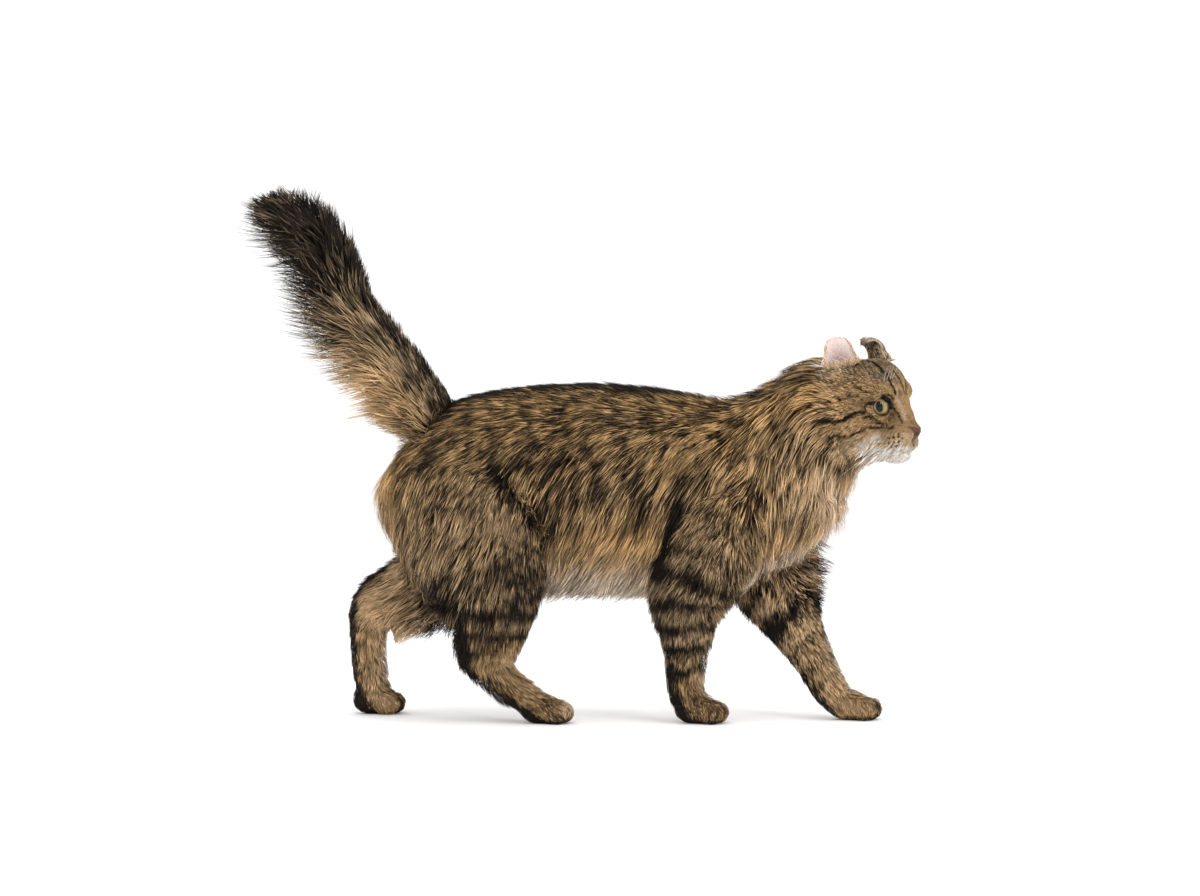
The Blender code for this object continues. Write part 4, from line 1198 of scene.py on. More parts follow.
def tuft_regions(roots, places):
    """The name of the coat piece for each root, and its place on the unwrap of the skin."""
    head = to_head(roots)
    on_head = (head[:, 0] > -74) & (np.linalg.norm(head - SKULL_CENTRE, axis=1) < 75)
    names = list(places)
    owner = np.array([places[name]["share"] for name in names]).argmax(0)
    side = np.where(roots[:, 1] > 0, "left", "right")
    region = np.empty(len(roots), object)
    unwrap = np.zeros((len(roots), 2))
    for k, name in enumerate(names):
        own = owner == k
        place = places[name]
        split = name in ("trunk", "neck")
        region[own] = [f"{name}_{word}" for word in side[own]] if split else name
        unwrap[own] = np.stack((place["s"][own], place["angle"][own] % (2 * math.pi)), 1)
    flat = head - SKULL_CENTRE
    turn = np.arctan2(flat[:, 1], flat[:, 0])
    tilt = np.arctan2(flat[:, 2], np.hypot(flat[:, 0], flat[:, 1]))
    region[on_head] = [f"head_{word}" for word in side[on_head]]
    unwrap[on_head] = np.stack((turn, tilt), 1)[on_head]
    return region, unwrap


def coat_piece(name, line, steps, upright, width, marks, chance, unwrap, material):
    """One piece of coat; its marks are given for the tufts' lower parts and for their tips."""
    corners, faces, stride = tuft_arrays(line, upright, width)
    mesh = mesh_from_arrays(name, corners, faces)
    strand = np.tile((0, *np.repeat(steps[:-1], 3), 1), line.shape[1])
    lower, tip = (struck(values, chance) for values in marks)
    along = np.stack([lower] * (stride - 1) + [tip], 2).reshape(3, -1)
    set_marks(mesh, along, np.repeat(chance, stride), strand)
    low, high = unwrap.min(0), unwrap.max(0)
    spread = 0.01 + 0.975 * (unwrap - low) / np.maximum(high - low, 1e-6)
    rows = np.tile((0.5, *[0, 0.5, 1] * (stride // 3), 0.5)[:stride], line.shape[1])
    patch = np.stack((rows, strand), 1) * BAKE_PATCH
    uv = np.repeat(spread, stride, axis=0) + patch
    layer = mesh.uv_layers.new(name="OFBake")
    layer.data.foreach_set("uv", uv[faces.ravel()].astype(np.float32).ravel())
    return link_piece(name, mesh, material)


def bare_places(points, head):
    """Where no tuft grows: the nose leather, the eyes, the lips and the soles."""
    bare = (nose_mask(head) > 0.6) | (points[:, 2] < 1.0)
    for side in (-1, 1):
        bare |= lid_place(head, side)[0] < 1.05
    return bare | (line_distance(both_sides(head), LIPS[1:]) < 0.9)


def tuft_areas(points, head, own):
    """Where each kind of tuft grows."""
    depth = coat_build(points, own)[1]
    lower = np.zeros(len(points))
    for name, first in SHORT_FROM.items():
        lower = np.maximum(lower, own[name]["share"] * (own[name]["s"] > first))
    face = (head[:, 0] > -66) & near_head(head) & (throat_share(points) < 0.3)
    paw = ((lower > 0.5) | (points[:, 2] < 24)) & ~face
    shaggy = (depth > 17) | (own["tail"]["share"] > 0.5) | (own["neck"]["share"] > 0.5)
    shaggy &= ~face & ~paw
    return {"face": face, "paw": paw, "long": shaggy, "body": ~(face | paw | shaggy)}


def make_coat(mesh, material):
    """Grows each kind of tuft over the skin and joins the tufts into pieces."""
    points = vertex_array(mesh.vertices)
    normals = np.array([normal.vector for normal in mesh.vertex_normals])
    triangles = np.array([tuple(face.vertices) for face in mesh.polygons])
    tree = BVHTree.FromPolygons([Vector(point) for point in points], triangles.tolist())
    middles = points[triangles].mean(1)
    head = to_head(middles)
    own = tube_places(middles)
    bare = bare_places(middles, head)
    areas = tuft_areas(middles, head, own)
    for kind, (count, _, _) in KINDS.items():
        density = np.where(areas[kind] & ~bare, 1.0, 0.0)
        if kind == "face":
            density *= 1 + 1.4 * smooth(-28, -12, head[:, 0])
        if kind == "long":
            density *= 1 + 1.4 * own["tail"]["share"]
        roots, upright = sample_roots(points, normals, triangles, density, count)
        make_tufts(kind, tree, roots, upright, material)


def marks_seen(points, own):
    """The markings at points along the tufts that grow from the parts given."""
    places = tube_places(points)
    for name, place in places.items():
        place["share"] = own[name]["share"]
    return markings(points, places)


# How far from its last joint to its tip a tuft takes its two markings, and how alike a clump is.
LOWER_SEEN = 0.3
TIP_SEEN = 0.85
CLUMP_ALIKE = 0.45


def make_tufts(kind, tree, roots, upright, material):
    """Grows one kind of tuft from its roots and makes its pieces."""
    count, width, steps = KINDS[kind]
    own = tube_places(roots)
    line, leader = grow_tufts(tree, roots, upright, own, steps)
    marks = []
    for share in (LOWER_SEEN, TIP_SEEN):
        marks.append(marks_seen(line[-2] * (1 - share) + line[-1] * share, own))
    chance = draw.random(count) * (1 - CLUMP_ALIKE) + draw.random(count)[leader] * CLUMP_ALIKE
    width = width * draw.uniform(0.7, 1.25, count) * (1 + 0.25 * own["tail"]["share"])
    if kind == "face":
        width = width * (0.8 + 0.9 * smooth(20, 66, -to_head(roots)[:, 0]))
    region, unwrap = tuft_regions(roots, own)
    limit = PIECE_TRIANGLES // (6 * (len(steps) - 1))
    for name in sorted(set(region)):
        inside = np.nonzero(region == name)[0]
        inside = inside[np.argsort(unwrap[inside, 0], kind="stable")]
        parts = np.array_split(inside, math.ceil(len(inside) / limit))
        for k, part in enumerate(parts):
            label = f"coat_{name}_{kind}" + (f"_{k + 1}" if len(parts) > 1 else "")
            part_marks = [values[:, part] for values in marks]
            values = (upright[part], width[part], part_marks, chance[part], unwrap[part])
            coat_piece(label, line[:, part], steps, *values, material)


# The materials

def new_material(name, roughness, colour=(0.5, 0.5, 0.5)):
    material = bpy.data.materials.new(name)
    material.use_nodes = True
    shader = material.node_tree.nodes["Principled BSDF"]
    shader.inputs["Roughness"].default_value = roughness
    shader.inputs["Base Color"].default_value = (*colour, 1)
    return material, material.node_tree, shader


def add_node(tree, kind, **values):
    node = tree.nodes.new(kind)
    for key, value in values.items():
        setattr(node, key, value)
    return node


def attribute(tree, name):
    return add_node(tree, "ShaderNodeAttribute", attribute_name=name)


def mark_shares(tree):
    """The dark, warm and pale shares and the chance value that the mesh carries."""
    mark = attribute(tree, "mark")
    split = add_node(tree, "ShaderNodeSeparateColor")
    tree.links.new(mark.outputs["Color"], split.inputs[0])
    return (*split.outputs[:3], mark.outputs["Alpha"])


def mix_colour(tree, factor, first, second, blend="MIX"):
    """A colour mix of two sockets or plain colours."""
    node = add_node(tree, "ShaderNodeMix", data_type="RGBA", blend_type=blend)
    for socket, value in ((node.inputs[0], factor), (node.inputs[6], first), (node.inputs[7], second)):
        if isinstance(value, bpy.types.NodeSocket):
            tree.links.new(value, socket)
        elif isinstance(value, tuple):
            socket.default_value = (*value, 1)
        else:
            socket.default_value = value
    return node.outputs[2]


def ramp(tree, factor, stops):
    """A colour ramp with the stops, driven by the factor."""
    node = add_node(tree, "ShaderNodeValToRGB")
    while len(node.color_ramp.elements) < len(stops):
        node.color_ramp.elements.new(0.5)
    for element, (place, colour) in zip(node.color_ramp.elements, stops):
        element.position = place
        element.color = (*colour, 1)
    tree.links.new(factor, node.inputs[0])
    return node.outputs[0]


# Colours of a hair from its root to its tip; the dark root is partly the grey undercoat and partly painted
# shade deep in the coat.
GREY_BROWN = [
    (0.0, (0.026, 0.018, 0.01)),
    (0.4, (0.105, 0.073, 0.04)),
    (0.72, (0.3, 0.216, 0.13)),
    (1.0, (0.2, 0.142, 0.083)),
]
TAN = [
    (0.0, (0.07, 0.04, 0.015)),
    (0.4, (0.28, 0.158, 0.058)),
    (0.72, (0.55, 0.333, 0.132)),
    (1.0, (0.44, 0.262, 0.102)),
]
CREAM = [(0.0, (0.3, 0.205, 0.12)), (0.5, (0.66, 0.48, 0.31)), (1.0, (0.84, 0.66, 0.47))]
WHITE = [(0.0, (0.5, 0.42, 0.34)), (0.5, (0.82, 0.76, 0.68)), (1.0, (0.9, 0.87, 0.82))]
BLACK_BROWN = [(0.0, (0.007, 0.005, 0.004)), (0.6, (0.013, 0.009, 0.006)), (1.0, (0.009, 0.006, 0.005))]
# Where the pale share turns from cream to white, and how chance lightens or darkens a hair.
CREAM_TO_WHITE = [(0.68, (0, 0, 0)), (0.98, (1, 1, 1))]
CHANCE_SHADE = [(0.15, (0.55, 0.53, 0.5)), (0.5, (0.98, 0.98, 0.98)), (0.85, (1.65, 1.65, 1.65))]
GOLD = [
    (0.0, (0.16, 0.11, 0.03)),
    (0.3, (0.5, 0.33, 0.08)),
    (0.7, (0.6, 0.4, 0.12)),
    (0.9, (0.3, 0.17, 0.05)),
    (1.0, (0.03, 0.018, 0.01)),
]


def coat_colours(tree):
    """The coat's colour from the markings and the place along the strand."""
    dark, warm, pale, chance = mark_shares(tree)
    along = attribute(tree, "strand").outputs["Fac"]
    grey, tan, cream, white, black = (
        ramp(tree, along, stops) for stops in (GREY_BROWN, TAN, CREAM, WHITE, BLACK_BROWN)
    )
    light = mix_colour(tree, ramp(tree, pale, CREAM_TO_WHITE), cream, white)
    colour = mix_colour(tree, pale, mix_colour(tree, warm, grey, tan), light)
    colour = mix_colour(tree, 1.0, colour, ramp(tree, chance, CHANCE_SHADE), "MULTIPLY")
    return mix_colour(tree, dark, colour, black)


def coat_material():
    material, tree, shader = new_material("tabby_coat", 0.62)
    tree.links.new(coat_colours(tree), shader.inputs["Base Color"])
    shader.inputs["Specular IOR Level"].default_value = 0.14
    return material


def noise_bump(tree, shader, scale, detail, strength, distance):
    """Adds a fine bump to the shader and gives its noise."""
    place = add_node(tree, "ShaderNodeTexCoord")
    grain = add_node(tree, "ShaderNodeTexNoise")
    grain.inputs["Scale"].default_value = scale
    grain.inputs["Detail"].default_value = detail
    tree.links.new(place.outputs["Object"], grain.inputs["Vector"])
    bump = add_node(tree, "ShaderNodeBump")
    bump.inputs["Strength"].default_value = strength
    bump.inputs["Distance"].default_value = distance
    tree.links.new(grain.outputs["Fac"], bump.inputs["Height"])
    tree.links.new(bump.outputs[0], shader.inputs["Normal"])
    return grain


def skin_material():
    material, tree, shader = new_material("tabby_skin", 0.75)
    grain = noise_bump(tree, shader, 900, 4, 0.5, 0.0006)
    shade = mix_colour(tree, 0.45, coat_colours(tree), grain.outputs["Color"], "MULTIPLY")
    tree.links.new(shade, shader.inputs["Base Color"])
    shader.inputs["Specular IOR Level"].default_value = 0.2
    return material


def nose_material():
    """Brick red leather, with painted shade in the nostrils and their slits, where the mark along its
    strand is low.
    """
    material, tree, shader = new_material("nose_leather", 0.55)
    shader.inputs["Specular IOR Level"].default_value = 0.25
    grain = noise_bump(tree, shader, 2600, 5, 0.5, 0.0002).outputs["Fac"]
    brick = ramp(tree, grain, [(0.3, (0.055, 0.02, 0.013)), (0.7, (0.12, 0.05, 0.032))])
    plain = attribute(tree, "strand").outputs["Fac"]
    # The near-black colour is painted shade in the nostrils and their slits.
    tree.links.new(mix_colour(tree, plain, (0.02, 0.01, 0.008), brick), shader.inputs["Base Color"])
    return material


def ear_material():
    """Pink skin inside the ear, where the mark's pale share is high, darkened by painted shade in the
    middle of its cup, and dark outside.
    """
    material, tree, shader = new_material("ear_skin", 0.6)
    grain = noise_bump(tree, shader, 700, 5, 0.3, 0.0004).outputs["Fac"]
    hollow, _, inside, _ = mark_shares(tree)
    pink = ramp(tree, grain, [(0.3, (0.5, 0.38, 0.35)), (0.7, (0.62, 0.51, 0.48))])
    # The darker colour mixed in here is painted shade in the middle of the ear's cup.
    pink = mix_colour(tree, hollow, pink, (0.22, 0.13, 0.12))
    colour = mix_colour(tree, inside, (0.07, 0.052, 0.04), pink)
    tree.links.new(colour, shader.inputs["Base Color"])
    shader.inputs["Subsurface Weight"].default_value = 0.15
    shader.inputs["Subsurface Scale"].default_value = 0.002
    return material


def iris_material():
    """Gold iris with a darker rim and fine spokes, from the strand value across it."""
    material, tree, shader = new_material("iris", 0.35)
    gold = ramp(tree, attribute(tree, "strand").outputs["Fac"], GOLD)
    spokes = mix_colour(tree, mark_shares(tree)[0], gold, (0.75, 0.6, 0.25))
    tree.links.new(spokes, shader.inputs["Base Color"])
    return material


def plain_material(name, colour, roughness, gloss=0.5):
    material, _, shader = new_material(name, roughness, colour)
    shader.inputs["Specular IOR Level"].default_value = gloss
    return material


def cornea_material():
    """A clear film that shows little but its highlights."""
    material, _, shader = new_material("cornea", 0.02, (0, 0, 0))
    shader.inputs["Alpha"].default_value = 0.12
    shader.inputs["IOR"].default_value = 1.9
    return material


# The eyes

IRIS_RADIUS = 9.2
CORNEA_RADIUS = 9.9
PUPIL_RADII = (3.6, 4.6)
LIMBUS = math.sqrt(EYE_RADIUS**2 - IRIS_RADIUS**2)
EYE_SIDES = 64
EYE_ANGLES = np.arange(EYE_SIDES) * 2 * math.pi / EYE_SIDES
EYE_CIRCLE = np.stack((np.cos(EYE_ANGLES), np.sin(EYE_ANGLES)), 1)


def eye_frame(points, side):
    """Points given as ahead, inward and up of the eye, in the design frame."""
    turn = np.array(eye_turn(side))
    local = np.asarray(points, float) * (1, -side, 1)
    return from_head(local @ turn.T + np.array(mirrored(EYE_CENTRE, side)))


def arc(radius, first, last, count):
    """Rows of ahead and radius along an arc about the middle of a ball."""
    return [(radius * math.cos(a), radius * math.sin(a)) for a in np.linspace(first, last, count)]


def round_surface(profile):
    """Rings about the eye's axis from rows of ahead and radius."""
    rings = [np.column_stack((np.full(EYE_SIDES, ahead), radius * EYE_CIRCLE)) for ahead, radius in profile]
    return np.concatenate(rings)


def ring_faces(rings, sides):
    faces = []
    for ring in range(rings - 1):
        for k in range(sides):
            a, b = ring * sides + k, ring * sides + (k + 1) % sides
            faces += [(a, b, b + sides), (a, b + sides, a + sides)]
    return faces


def eye_piece(name, places, faces, side, material):
    mesh = mesh_from_arrays(name, eye_frame(places, side), np.array(faces))
    return link_piece(name, mesh, material)


def make_eyeball(side, word, material):
    """The eyeball, which turns in behind the cornea and is open where the iris lies."""
    profile = arc(EYE_RADIUS, math.pi, math.asin(IRIS_RADIUS / EYE_RADIUS), 20)
    profile.append((LIMBUS - 1.3, IRIS_RADIUS - 0.4))
    faces = ring_faces(len(profile), EYE_SIDES)
    piece = eye_piece(f"eyeball_{word}", round_surface(profile), faces, side, material)
    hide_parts("eye_" + word)


def make_iris(side, word, material):
    """The iris, shallow and spoked, from the pupil's edge to the rim."""
    spoke = draw.random(EYE_SIDES)
    spoke = (spoke + np.roll(spoke, 1)) / 2
    shares = np.linspace(0, 1, 14)
    rings = []
    for share in shares:
        flat = EYE_CIRCLE * PUPIL_RADII * (1 - share) + EYE_CIRCLE * (IRIS_RADIUS - 0.35) * share
        wave = 0.12 * (spoke - 0.5) * math.sin(math.pi * share)
        rings.append(np.column_stack((LIMBUS - 1.7 + 0.5 * share**2 + wave, flat)))
    faces = ring_faces(len(rings), EYE_SIDES)
    piece = eye_piece(f"iris_{word}", np.concatenate(rings), faces, side, material)
    value = np.repeat(shares, EYE_SIDES)
    marks = np.zeros((3, len(value)))
    marks[0] = np.tile(spoke, len(shares)) * np.sin(math.pi * value) * 0.55
    set_marks(piece.data, marks, 0 * value, value)


def make_pupil(side, word, material):
    """The dark hollow behind the iris."""
    ring = round_surface([(LIMBUS - 2.2, IRIS_RADIUS - 1)])
    places = np.vstack((ring, (LIMBUS - 3.5, 0, 0)))
    faces = [(k, (k + 1) % EYE_SIDES, EYE_SIDES) for k in range(EYE_SIDES)]
    eye_piece(f"pupil_{word}", places, faces, side, material)


def make_cornea(side, word, material):
    """A clear closed film, domed over the iris."""
    edge = IRIS_RADIUS + 0.2
    middle = LIMBUS - math.sqrt(CORNEA_RADIUS**2 - edge**2)
    outside = arc(CORNEA_RADIUS, 0.02, math.asin(edge / CORNEA_RADIUS), 14)
    dome = [(middle + ahead, radius) for ahead, radius in outside]
    inside = [(ahead - 0.5, radius * 0.96) for ahead, radius in dome[::-1]]
    dome += [(LIMBUS - 0.35, IRIS_RADIUS + 0.1), *inside]
    places = round_surface(dome)
    tip, back, last = len(places), len(places) + 1, len(places) - EYE_SIDES
    places = np.vstack((places, (dome[0][0] + 0.001, 0, 0), (dome[-1][0], 0, 0)))
    faces = ring_faces(len(dome), EYE_SIDES)
    for k in range(EYE_SIDES):
        after = (k + 1) % EYE_SIDES
        faces += [(tip, after, k), (back, last + k, last + after)]
    mesh = mesh_from_arrays(f"cornea_{word}", eye_frame(places, side), np.array(faces))
    link_piece(mesh.name, turned_outward(mesh), material)


def make_eye(side, materials):
    """An eyeball with a sunk iris and pupil under a clear cornea."""
    word = "left" if side == 1 else "right"
    make_eyeball(side, word, materials["sclera"])
    make_iris(side, word, materials["iris"])
    make_pupil(side, word, materials["pupil"])
    make_cornea(side, word, materials["cornea"])


# The ears

EAR_COLUMNS = 28
EAR_ROWS = 34


def ear_points(across, along, side):
    """Points of the ear's middle surface; across runs -1 to 1 and along 0 to 1."""
    facing = np.array(mirrored(EAR_FACING, side))
    rise = np.array(mirrored(EAR_RISE, side))
    up = unit(rise - facing * (facing @ rise))
    wide = np.cross(facing, up)
    length = EAR_LENGTH * along
    straight = EAR_LENGTH * EAR_STRAIGHT
    bend = np.maximum(0, length - straight) / EAR_CURL_RADIUS
    height = np.minimum(length, straight) + EAR_CURL_RADIUS * np.sin(bend)
    back = EAR_CURL_RADIUS * (1 - np.cos(bend))
    grown = np.minimum(along / 0.6, 1)
    outline = np.sqrt(1 - (np.maximum(0, along - 0.4) / 0.64) ** 2)
    belly = 0.86 + 0.14 * np.sin(math.pi * grown) - EAR_NIP * (1 - smooth(0.05, 0.4, along))
    half = EAR_HALF_WIDTH * outline * belly
    height += (EAR_FOOT * np.maximum(0, 1 - along / 0.35) - EAR_DOME * grown) * across**2
    height -= EAR_ROUND * smooth(0.3, 0.7, along) * across**4
    cup = EAR_CUP * (1 - along**2) * smooth(0, 0.3, along)
    cup = (cup - EAR_TUCK * (1 - smooth(0, 0.4, along))) * across**2
    outward = facing * np.cos(bend)[:, None] + up * np.sin(bend)[:, None]
    root = np.array(mirrored(EAR_BASE, side)) + (0, 0, EAR_LIFT if side == 1 else 0)
    places = root + up * (height - EAR_ROOT)[:, None] - facing * back[:, None]
    return places + wide * (half * across)[:, None] + outward * cup[:, None], outward


def ear_faces(columns, rows):
    """Triangles of the ear's inner and outer surfaces and of the rim between them."""
    wide, count = columns + 1, (columns + 1) * (rows + 1)
    cell = np.array([row * wide + column for row in range(rows) for column in range(columns)])
    quads = np.stack((cell, cell + 1, cell + wide + 1, cell + wide), 1)
    front = np.concatenate((quads[:, (0, 1, 2)], quads[:, (0, 2, 3)]))
    rim = [row * wide for row in range(rows)]
    rim += [rows * wide + column for column in range(columns)]
    rim += [row * wide + columns for row in range(rows, 0, -1)]
    rim = np.array(rim + list(range(columns, 0, -1)))
    after = np.roll(rim, -1)
    edge = [np.stack((rim, after + count, after), 1), np.stack((rim, rim + count, after + count), 1)]
    return np.concatenate((front, front[:, ::-1] + count, *edge))


def make_ear(side, materials):
    """The ear's skin, with its own tufts."""
    word = "left" if side == 1 else "right"
    grid = np.meshgrid(np.linspace(-1, 1, EAR_COLUMNS + 1), np.linspace(0, 1, EAR_ROWS + 1))
    across, along = (values.ravel() for values in grid)
    middle, outward = ear_points(across, along, side)
    thin = 1 - 0.75 * smooth(0.75, 1, np.maximum(np.abs(across), along))
    half = outward * (EAR_THICKNESS / 2 * thin)[:, None]
    corners = from_head(np.concatenate((middle + half, middle - half)))
    faces = ear_faces(EAR_COLUMNS, EAR_ROWS)
    if side == 1:
        faces = faces[:, ::-1]
    mesh = mesh_from_arrays(f"ear_{word}_skin", corners, faces)
    count = len(middle)
    marks = np.zeros((3, 2 * count))
    # The dark share inside the ear is painted shade in the middle of its cup.
    marks[0, :count] = 0.85 * peak(across, 0, 0.6) * peak(along, 0.4, 0.22)
    marks[2, :count] = 1
    set_marks(mesh, marks, np.zeros(2 * count), np.full(2 * count, 0.5))
    piece = link_piece(mesh.name, mesh, materials["ear"])
    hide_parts("ear_" + word)
    ear_tufts(side, word, materials["coat"])


# Each group of tufts: count, across from and to, along from and to, whether on the outer side,
# length, depth and width.
EAR_GROUPS = [
    (1500, -1, 1, 0.2, 1.0, True, 5.0, 1.0, 0.5),
    (160, -1, 1, 0.3, 0.95, False, 3.0, 0.7, 0.25),
    (420, 0.78, 1.0, 0.1, 0.98, False, 4.0, 1.6, 0.4),
    (420, -1.0, -0.78, 0.1, 0.98, False, 4.0, 1.6, 0.4),
    (420, -1.0, 1.0, 0.1, 0.22, False, 8.0, 3.5, 0.5),
]
WISPS = 30
WISP_WIDTH = 0.24


def ear_group(side, count, low, high, first, last, outside, length, depth, width):
    """The lines, uprights, widths, markings and unwrap of one group of the ear's tufts."""
    across, along = draw.uniform(low, high, count), draw.uniform(first, last, count)
    root, outward = ear_points(across, along, side)
    ahead, _ = ear_points(across, np.minimum(along + 0.03, 1), side)
    facing = -outward if outside else outward
    way = unit(ahead - root + 1e-6)
    root = root + facing * EAR_THICKNESS / 2 * 0.6
    way = way * length * draw.uniform(0.7, 1.2, count)[:, None]
    rise = facing * depth * draw.uniform(0.4, 1.0, count)[:, None]
    line = (root - facing * 0.3, root + way * 0.5 + rise * 0.6, root + way + rise)
    width = width * draw.uniform(0.7, 1.2, count)
    rim = smooth(0.5, 0.85, np.maximum(np.abs(across), along))
    dark = 0.7 * (1 - rim) if outside else 0 * rim
    pale = 0.25 + 0.5 * rim if outside else 0.75 - 0.3 * (1 - smooth(0.2, 0.3, along))
    marks = np.stack((dark, np.full(count, 0.4), pale))
    return line, facing, width, marks, np.stack((across + (3 if outside else 0), along), 1)


def ear_wisps(side):
    """The same for the long pale wisps that stream back out of the ear."""
    facing = np.array(mirrored(EAR_FACING, side))
    start, _ = ear_points(draw.uniform(-0.7, 0.8, WISPS), draw.uniform(0.16, 0.3, WISPS), side)
    back = unit(np.array((-0.75, 0.25 * side, 0.12)) + draw.normal(0, 0.16, (WISPS, 3)))
    back = back * draw.uniform(14, 26, WISPS)[:, None]
    bow = facing * draw.uniform(2, 5, WISPS)[:, None]
    line = (start, start + back * 0.5 + bow, start + back + bow * 0.7)
    marks = np.tile(np.array((0, 0.3, 1))[:, None], WISPS)
    unwrap = start[:, (0, 2)] * 0.02 + (6, 0)
    return line, np.tile(facing, (WISPS, 1)), np.full(WISPS, WISP_WIDTH), marks, unwrap


def ear_tufts(side, word, material):
    """The ear's coat: short outside, a pale fringe round the rim and long wisps inside."""
    groups = [ear_group(side, *group) for group in EAR_GROUPS] + [ear_wisps(side)]
    lines, uprights, widths, marks, unwraps = zip(*groups)
    line = from_head(np.concatenate(lines, 1))
    upright = np.concatenate(uprights) @ HEAD_TURN.T
    chance = draw.random(line.shape[1])
    marks = np.concatenate(marks, 1)
    values = (upright, np.concatenate(widths), (marks, marks), chance, np.concatenate(unwraps))
    coat_piece(f"coat_ear_{word}", line, (0.5, 1.0), *values, material)


# The whiskers

HAIR_SIDES = 4
HAIR_STEPS = 12
HAIR_TIP = 0.03
BROW_ROOTS = [(-22, 15, 43), (-24, 17, 42), (-21, 13, 44), (-26, 19, 41)]


def hair_rings(line, radius):
    """The corners of one tapered hair along the line, ring by ring and with its tip last."""
    t = np.linspace(0, 1, HAIR_STEPS + 1)[:-1, None]
    ahead = unit(np.gradient(line, axis=0))
    across = unit(np.cross(ahead, (0.3, 0.2, 1.0)))
    up = np.cross(across, ahead)
    size = radius * (1 - t**1.5) + HAIR_TIP
    rings = []
    for angle in np.arange(HAIR_SIDES) * 2 * math.pi / HAIR_SIDES:
        rings.append(line[:-1] + size * (across[:-1] * math.cos(angle) + up[:-1] * math.sin(angle)))
    return np.vstack((np.stack(rings, 1).reshape(-1, 3), line[-1:]))


def hair_tubes(name, starts, ways, lengths, droop, radius, material):
    """Thin tapered hairs that start at points and bow down."""
    tip, last = HAIR_SIDES * HAIR_STEPS, HAIR_SIDES * (HAIR_STEPS - 1)
    faces = ring_faces(HAIR_STEPS, HAIR_SIDES)
    faces += [(last + k, last + (k + 1) % HAIR_SIDES, tip) for k in range(HAIR_SIDES)]
    faces = np.array(faces + [(0, 2, 1), (0, 3, 2)])
    t = np.linspace(0, 1, HAIR_STEPS + 1)[:, None]
    corners = []
    for start, way, length in zip(starts, ways, lengths):
        line = start + way * length * t + np.array((0, 0, -1.0)) * droop * length * t**2
        corners.append(hair_rings(line, radius))
    faces = np.concatenate([faces + k * (tip + 1) for k in range(len(corners))])
    mesh = mesh_from_arrays(name, np.concatenate(corners), faces)
    return link_piece(name, mesh, material)


def make_whiskers(material):
    """The whiskers of the muzzle, longest at the rear, and a few over each eye."""
    for side, word in ((-1, "right"), (1, "left")):
        roots = on_skull(np.array(SPOTS[5:]) * (1, side, 1))
        roots = roots - 0.5 * unit(roots - SKULL_CENTRE)
        count = len(roots)
        rear = np.clip((-5 - roots[:, 0]) / 16, 0, 1)
        outward = np.full(count, 0.55 * side)
        ways = np.stack((0.15 - 0.85 * rear, outward, -0.75 + 0.25 * rear), 1)
        ways = unit(ways + draw.normal(0, 0.07, (count, 3))) @ HEAD_TURN.T
        lengths = (16 + 30 * rear) * draw.uniform(0.8, 1.15, count)
        hair_tubes(f"whiskers_{word}", from_head(roots), ways, lengths, 0.16, 0.12, material)
        brow = from_head(on_skull(np.array(BROW_ROOTS) * (1, side, 1)))
        ways = np.array((0.35, 0.35 * side, 0.8)) + draw.normal(0, 0.15, (4, 3))
        lengths = draw.uniform(12, 20, 4)
        hair_tubes(f"brow_whiskers_{word}", brow, unit(ways) @ HEAD_TURN.T, lengths, 0.1, 0.08, material)


# The scene

def leather_and_nostril_shade(points):
    """1 on the plain leather of the nose and 0 in the nostrils and their slits, where the nose gets painted
    shade.
    """
    folded = both_sides(to_head(points))
    hole = peak(np.linalg.norm((folded - NOSTRIL) / (2.0, 1.4, 1.1), axis=1), 0, 1)
    return 1 - np.clip(hole + peak(line_distance(folded, NOSE_SLIT), 0, 0.8), 0, 1)


def skin_part(name, points, triangles, marks, material, slot):
    """A piece of the skin with its markings."""
    used, faces = np.unique(triangles, return_inverse=True)
    mesh = mesh_from_arrays(name, points[used], faces.reshape(-1, 3))
    strand = leather_and_nostril_shade(points[used]) if slot == "nose" else np.full(len(used), SKIN_STRAND)
    set_marks(mesh, marks[:, used], np.full(len(used), 0.5), strand)
    return link_piece(name, mesh, material)


def make_skin(materials):
    """The skin and the nose leather, and the mesh of both that the coat grows on."""
    mesh = make_skin_mesh()
    points = vertex_array(mesh.vertices)
    marks = struck(markings(points, tube_places(points)), 0.5)
    # The skin is darker than the coat's markings as painted shade deep between the tufts.
    marks[0] = np.clip(marks[0] + 0.15, 0, 1)
    triangles = np.array([tuple(face.vertices) for face in mesh.polygons])
    leather = nose_mask(to_head(points[triangles].mean(1))) > 0.5
    piece = skin_part("skin", points, triangles[~leather], marks, materials["skin"], "coat_tabby")
    flesh = [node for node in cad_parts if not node.startswith(("ear", "eye", "nose"))]
    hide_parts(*flesh)
    piece = skin_part("nose_leather", points, triangles[leather], marks, materials["nose"], "nose")
    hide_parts("nose")
    return mesh


def make_materials():
    return {
        "coat": coat_material(),
        "skin": skin_material(),
        "nose": nose_material(),
        "ear": ear_material(),
        "sclera": plain_material("sclera", (0.05, 0.035, 0.02), 0.3),
        "iris": iris_material(),
        "pupil": plain_material("pupil", (0.002, 0.002, 0.002), 0.9, 0.0),
        "cornea": cornea_material(),
        "whisker": plain_material("whisker", (0.85, 0.83, 0.8), 0.4),
    }


# The camera stands level beside the cat, in the design frame.
CAMERA_PLACE = Vector((11.9, -2400, 229.7))
FOCAL_PIXELS = 2823.5
IMAGE_WIDTH = 1200
SENSOR = 36
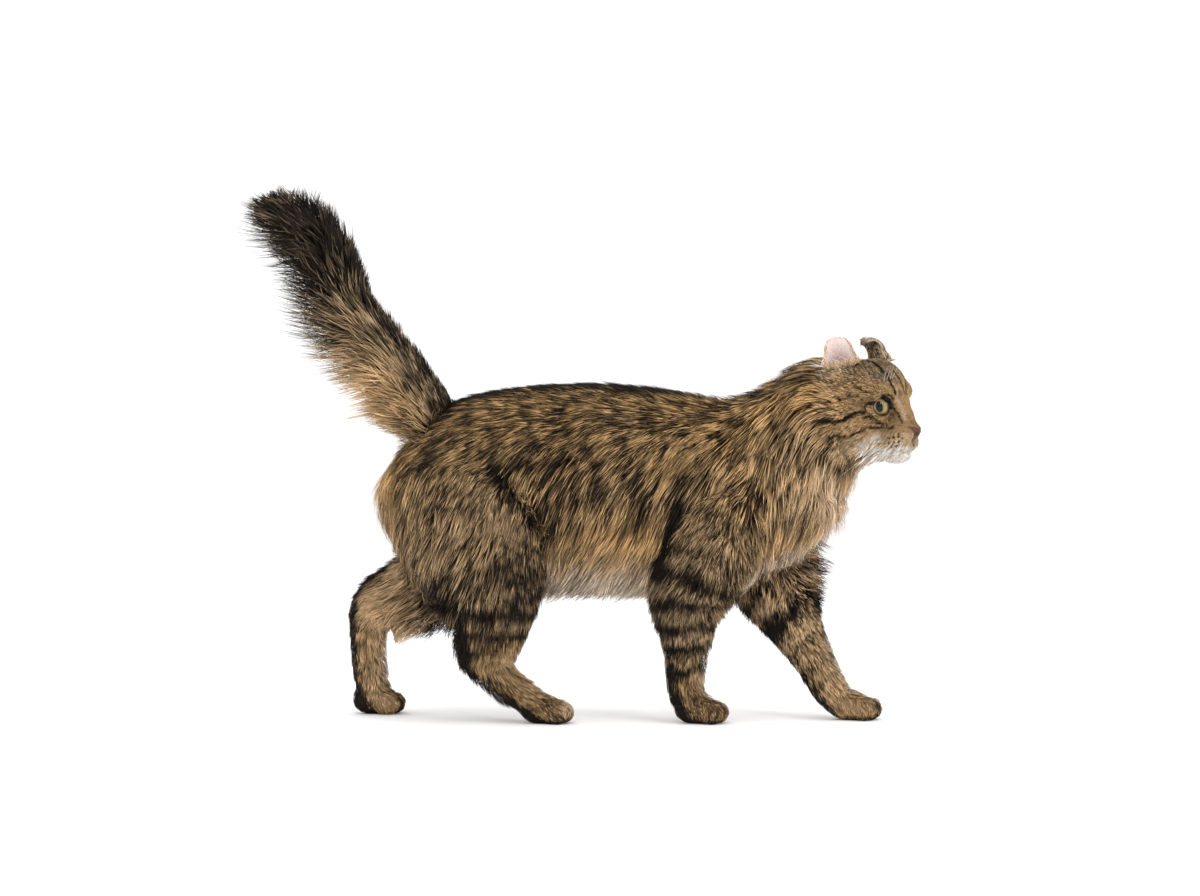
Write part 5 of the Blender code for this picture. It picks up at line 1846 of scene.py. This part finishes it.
# Each light's name, place, size and power.
LIGHTS = [
    ("key", (1.3, -1.7, 1.6), 0.8, 13),
    ("catch", (-0.1, -1.9, 1.35), 0.3, 8),
    ("top", (0.1, -0.4, 2.4), 1.6, 16),
    ("back", (-0.8, 1.8, 1.6), 1.2, 10),
]
WORLD_STRENGTH = 1.12
LIT_PLACE = (0, 0, 0.2)


def make_camera():
    """A level camera at the photo's place, with its focal length."""
    camera = bpy.data.cameras.new("camera")
    camera.sensor_width = SENSOR
    camera.lens = SENSOR * FOCAL_PIXELS / IMAGE_WIDTH
    camera.clip_end = 50
    place = linked_object("camera", camera)
    place.location = CAMERA_PLACE * MM + SHIFT
    place.rotation_euler = (math.radians(90), 0, 0)
    bpy.context.scene.camera = place


def make_floor():
    bm = bmesh.new()
    bmesh.ops.create_grid(bm, x_segments=1, y_segments=1, size=20)
    floor = linked_object("floor", finished_mesh(bm, "floor"))
    material, _, shader = new_material("floor_white", 0.9, (0.92, 0.92, 0.92))
    shader.inputs["Specular IOR Level"].default_value = 0.1
    floor.data.materials.append(material)


def make_studio():
    """A wide pale floor, a white surround and soft lights."""
    make_floor()
    world = bpy.data.worlds.new("studio")
    world.use_nodes = True
    background = world.node_tree.nodes["Background"]
    background.inputs[0].default_value = (1, 1, 1, 1)
    background.inputs[1].default_value = WORLD_STRENGTH
    bpy.context.scene.world = world
    bpy.context.scene.view_settings.view_transform = "Standard"
    for name, place, size, power in LIGHTS:
        light = bpy.data.lights.new(name, "AREA")
        light.shape = "DISK"
        light.size = size
        light.energy = power
        lamp = linked_object(name, light)
        lamp.location = place
        lamp.rotation_euler = (Vector(LIT_PLACE) - Vector(place)).to_track_quat("-Z", "Y").to_euler()


make_camera()
make_studio()
MATERIALS = make_materials()
skin_mesh = make_skin(MATERIALS)
make_coat(skin_mesh, MATERIALS["coat"])
bpy.data.meshes.remove(skin_mesh)
for eye_side in (-1, 1):
    make_eye(eye_side, MATERIALS)
    make_ear(eye_side, MATERIALS)
make_whiskers(MATERIALS["whisker"])
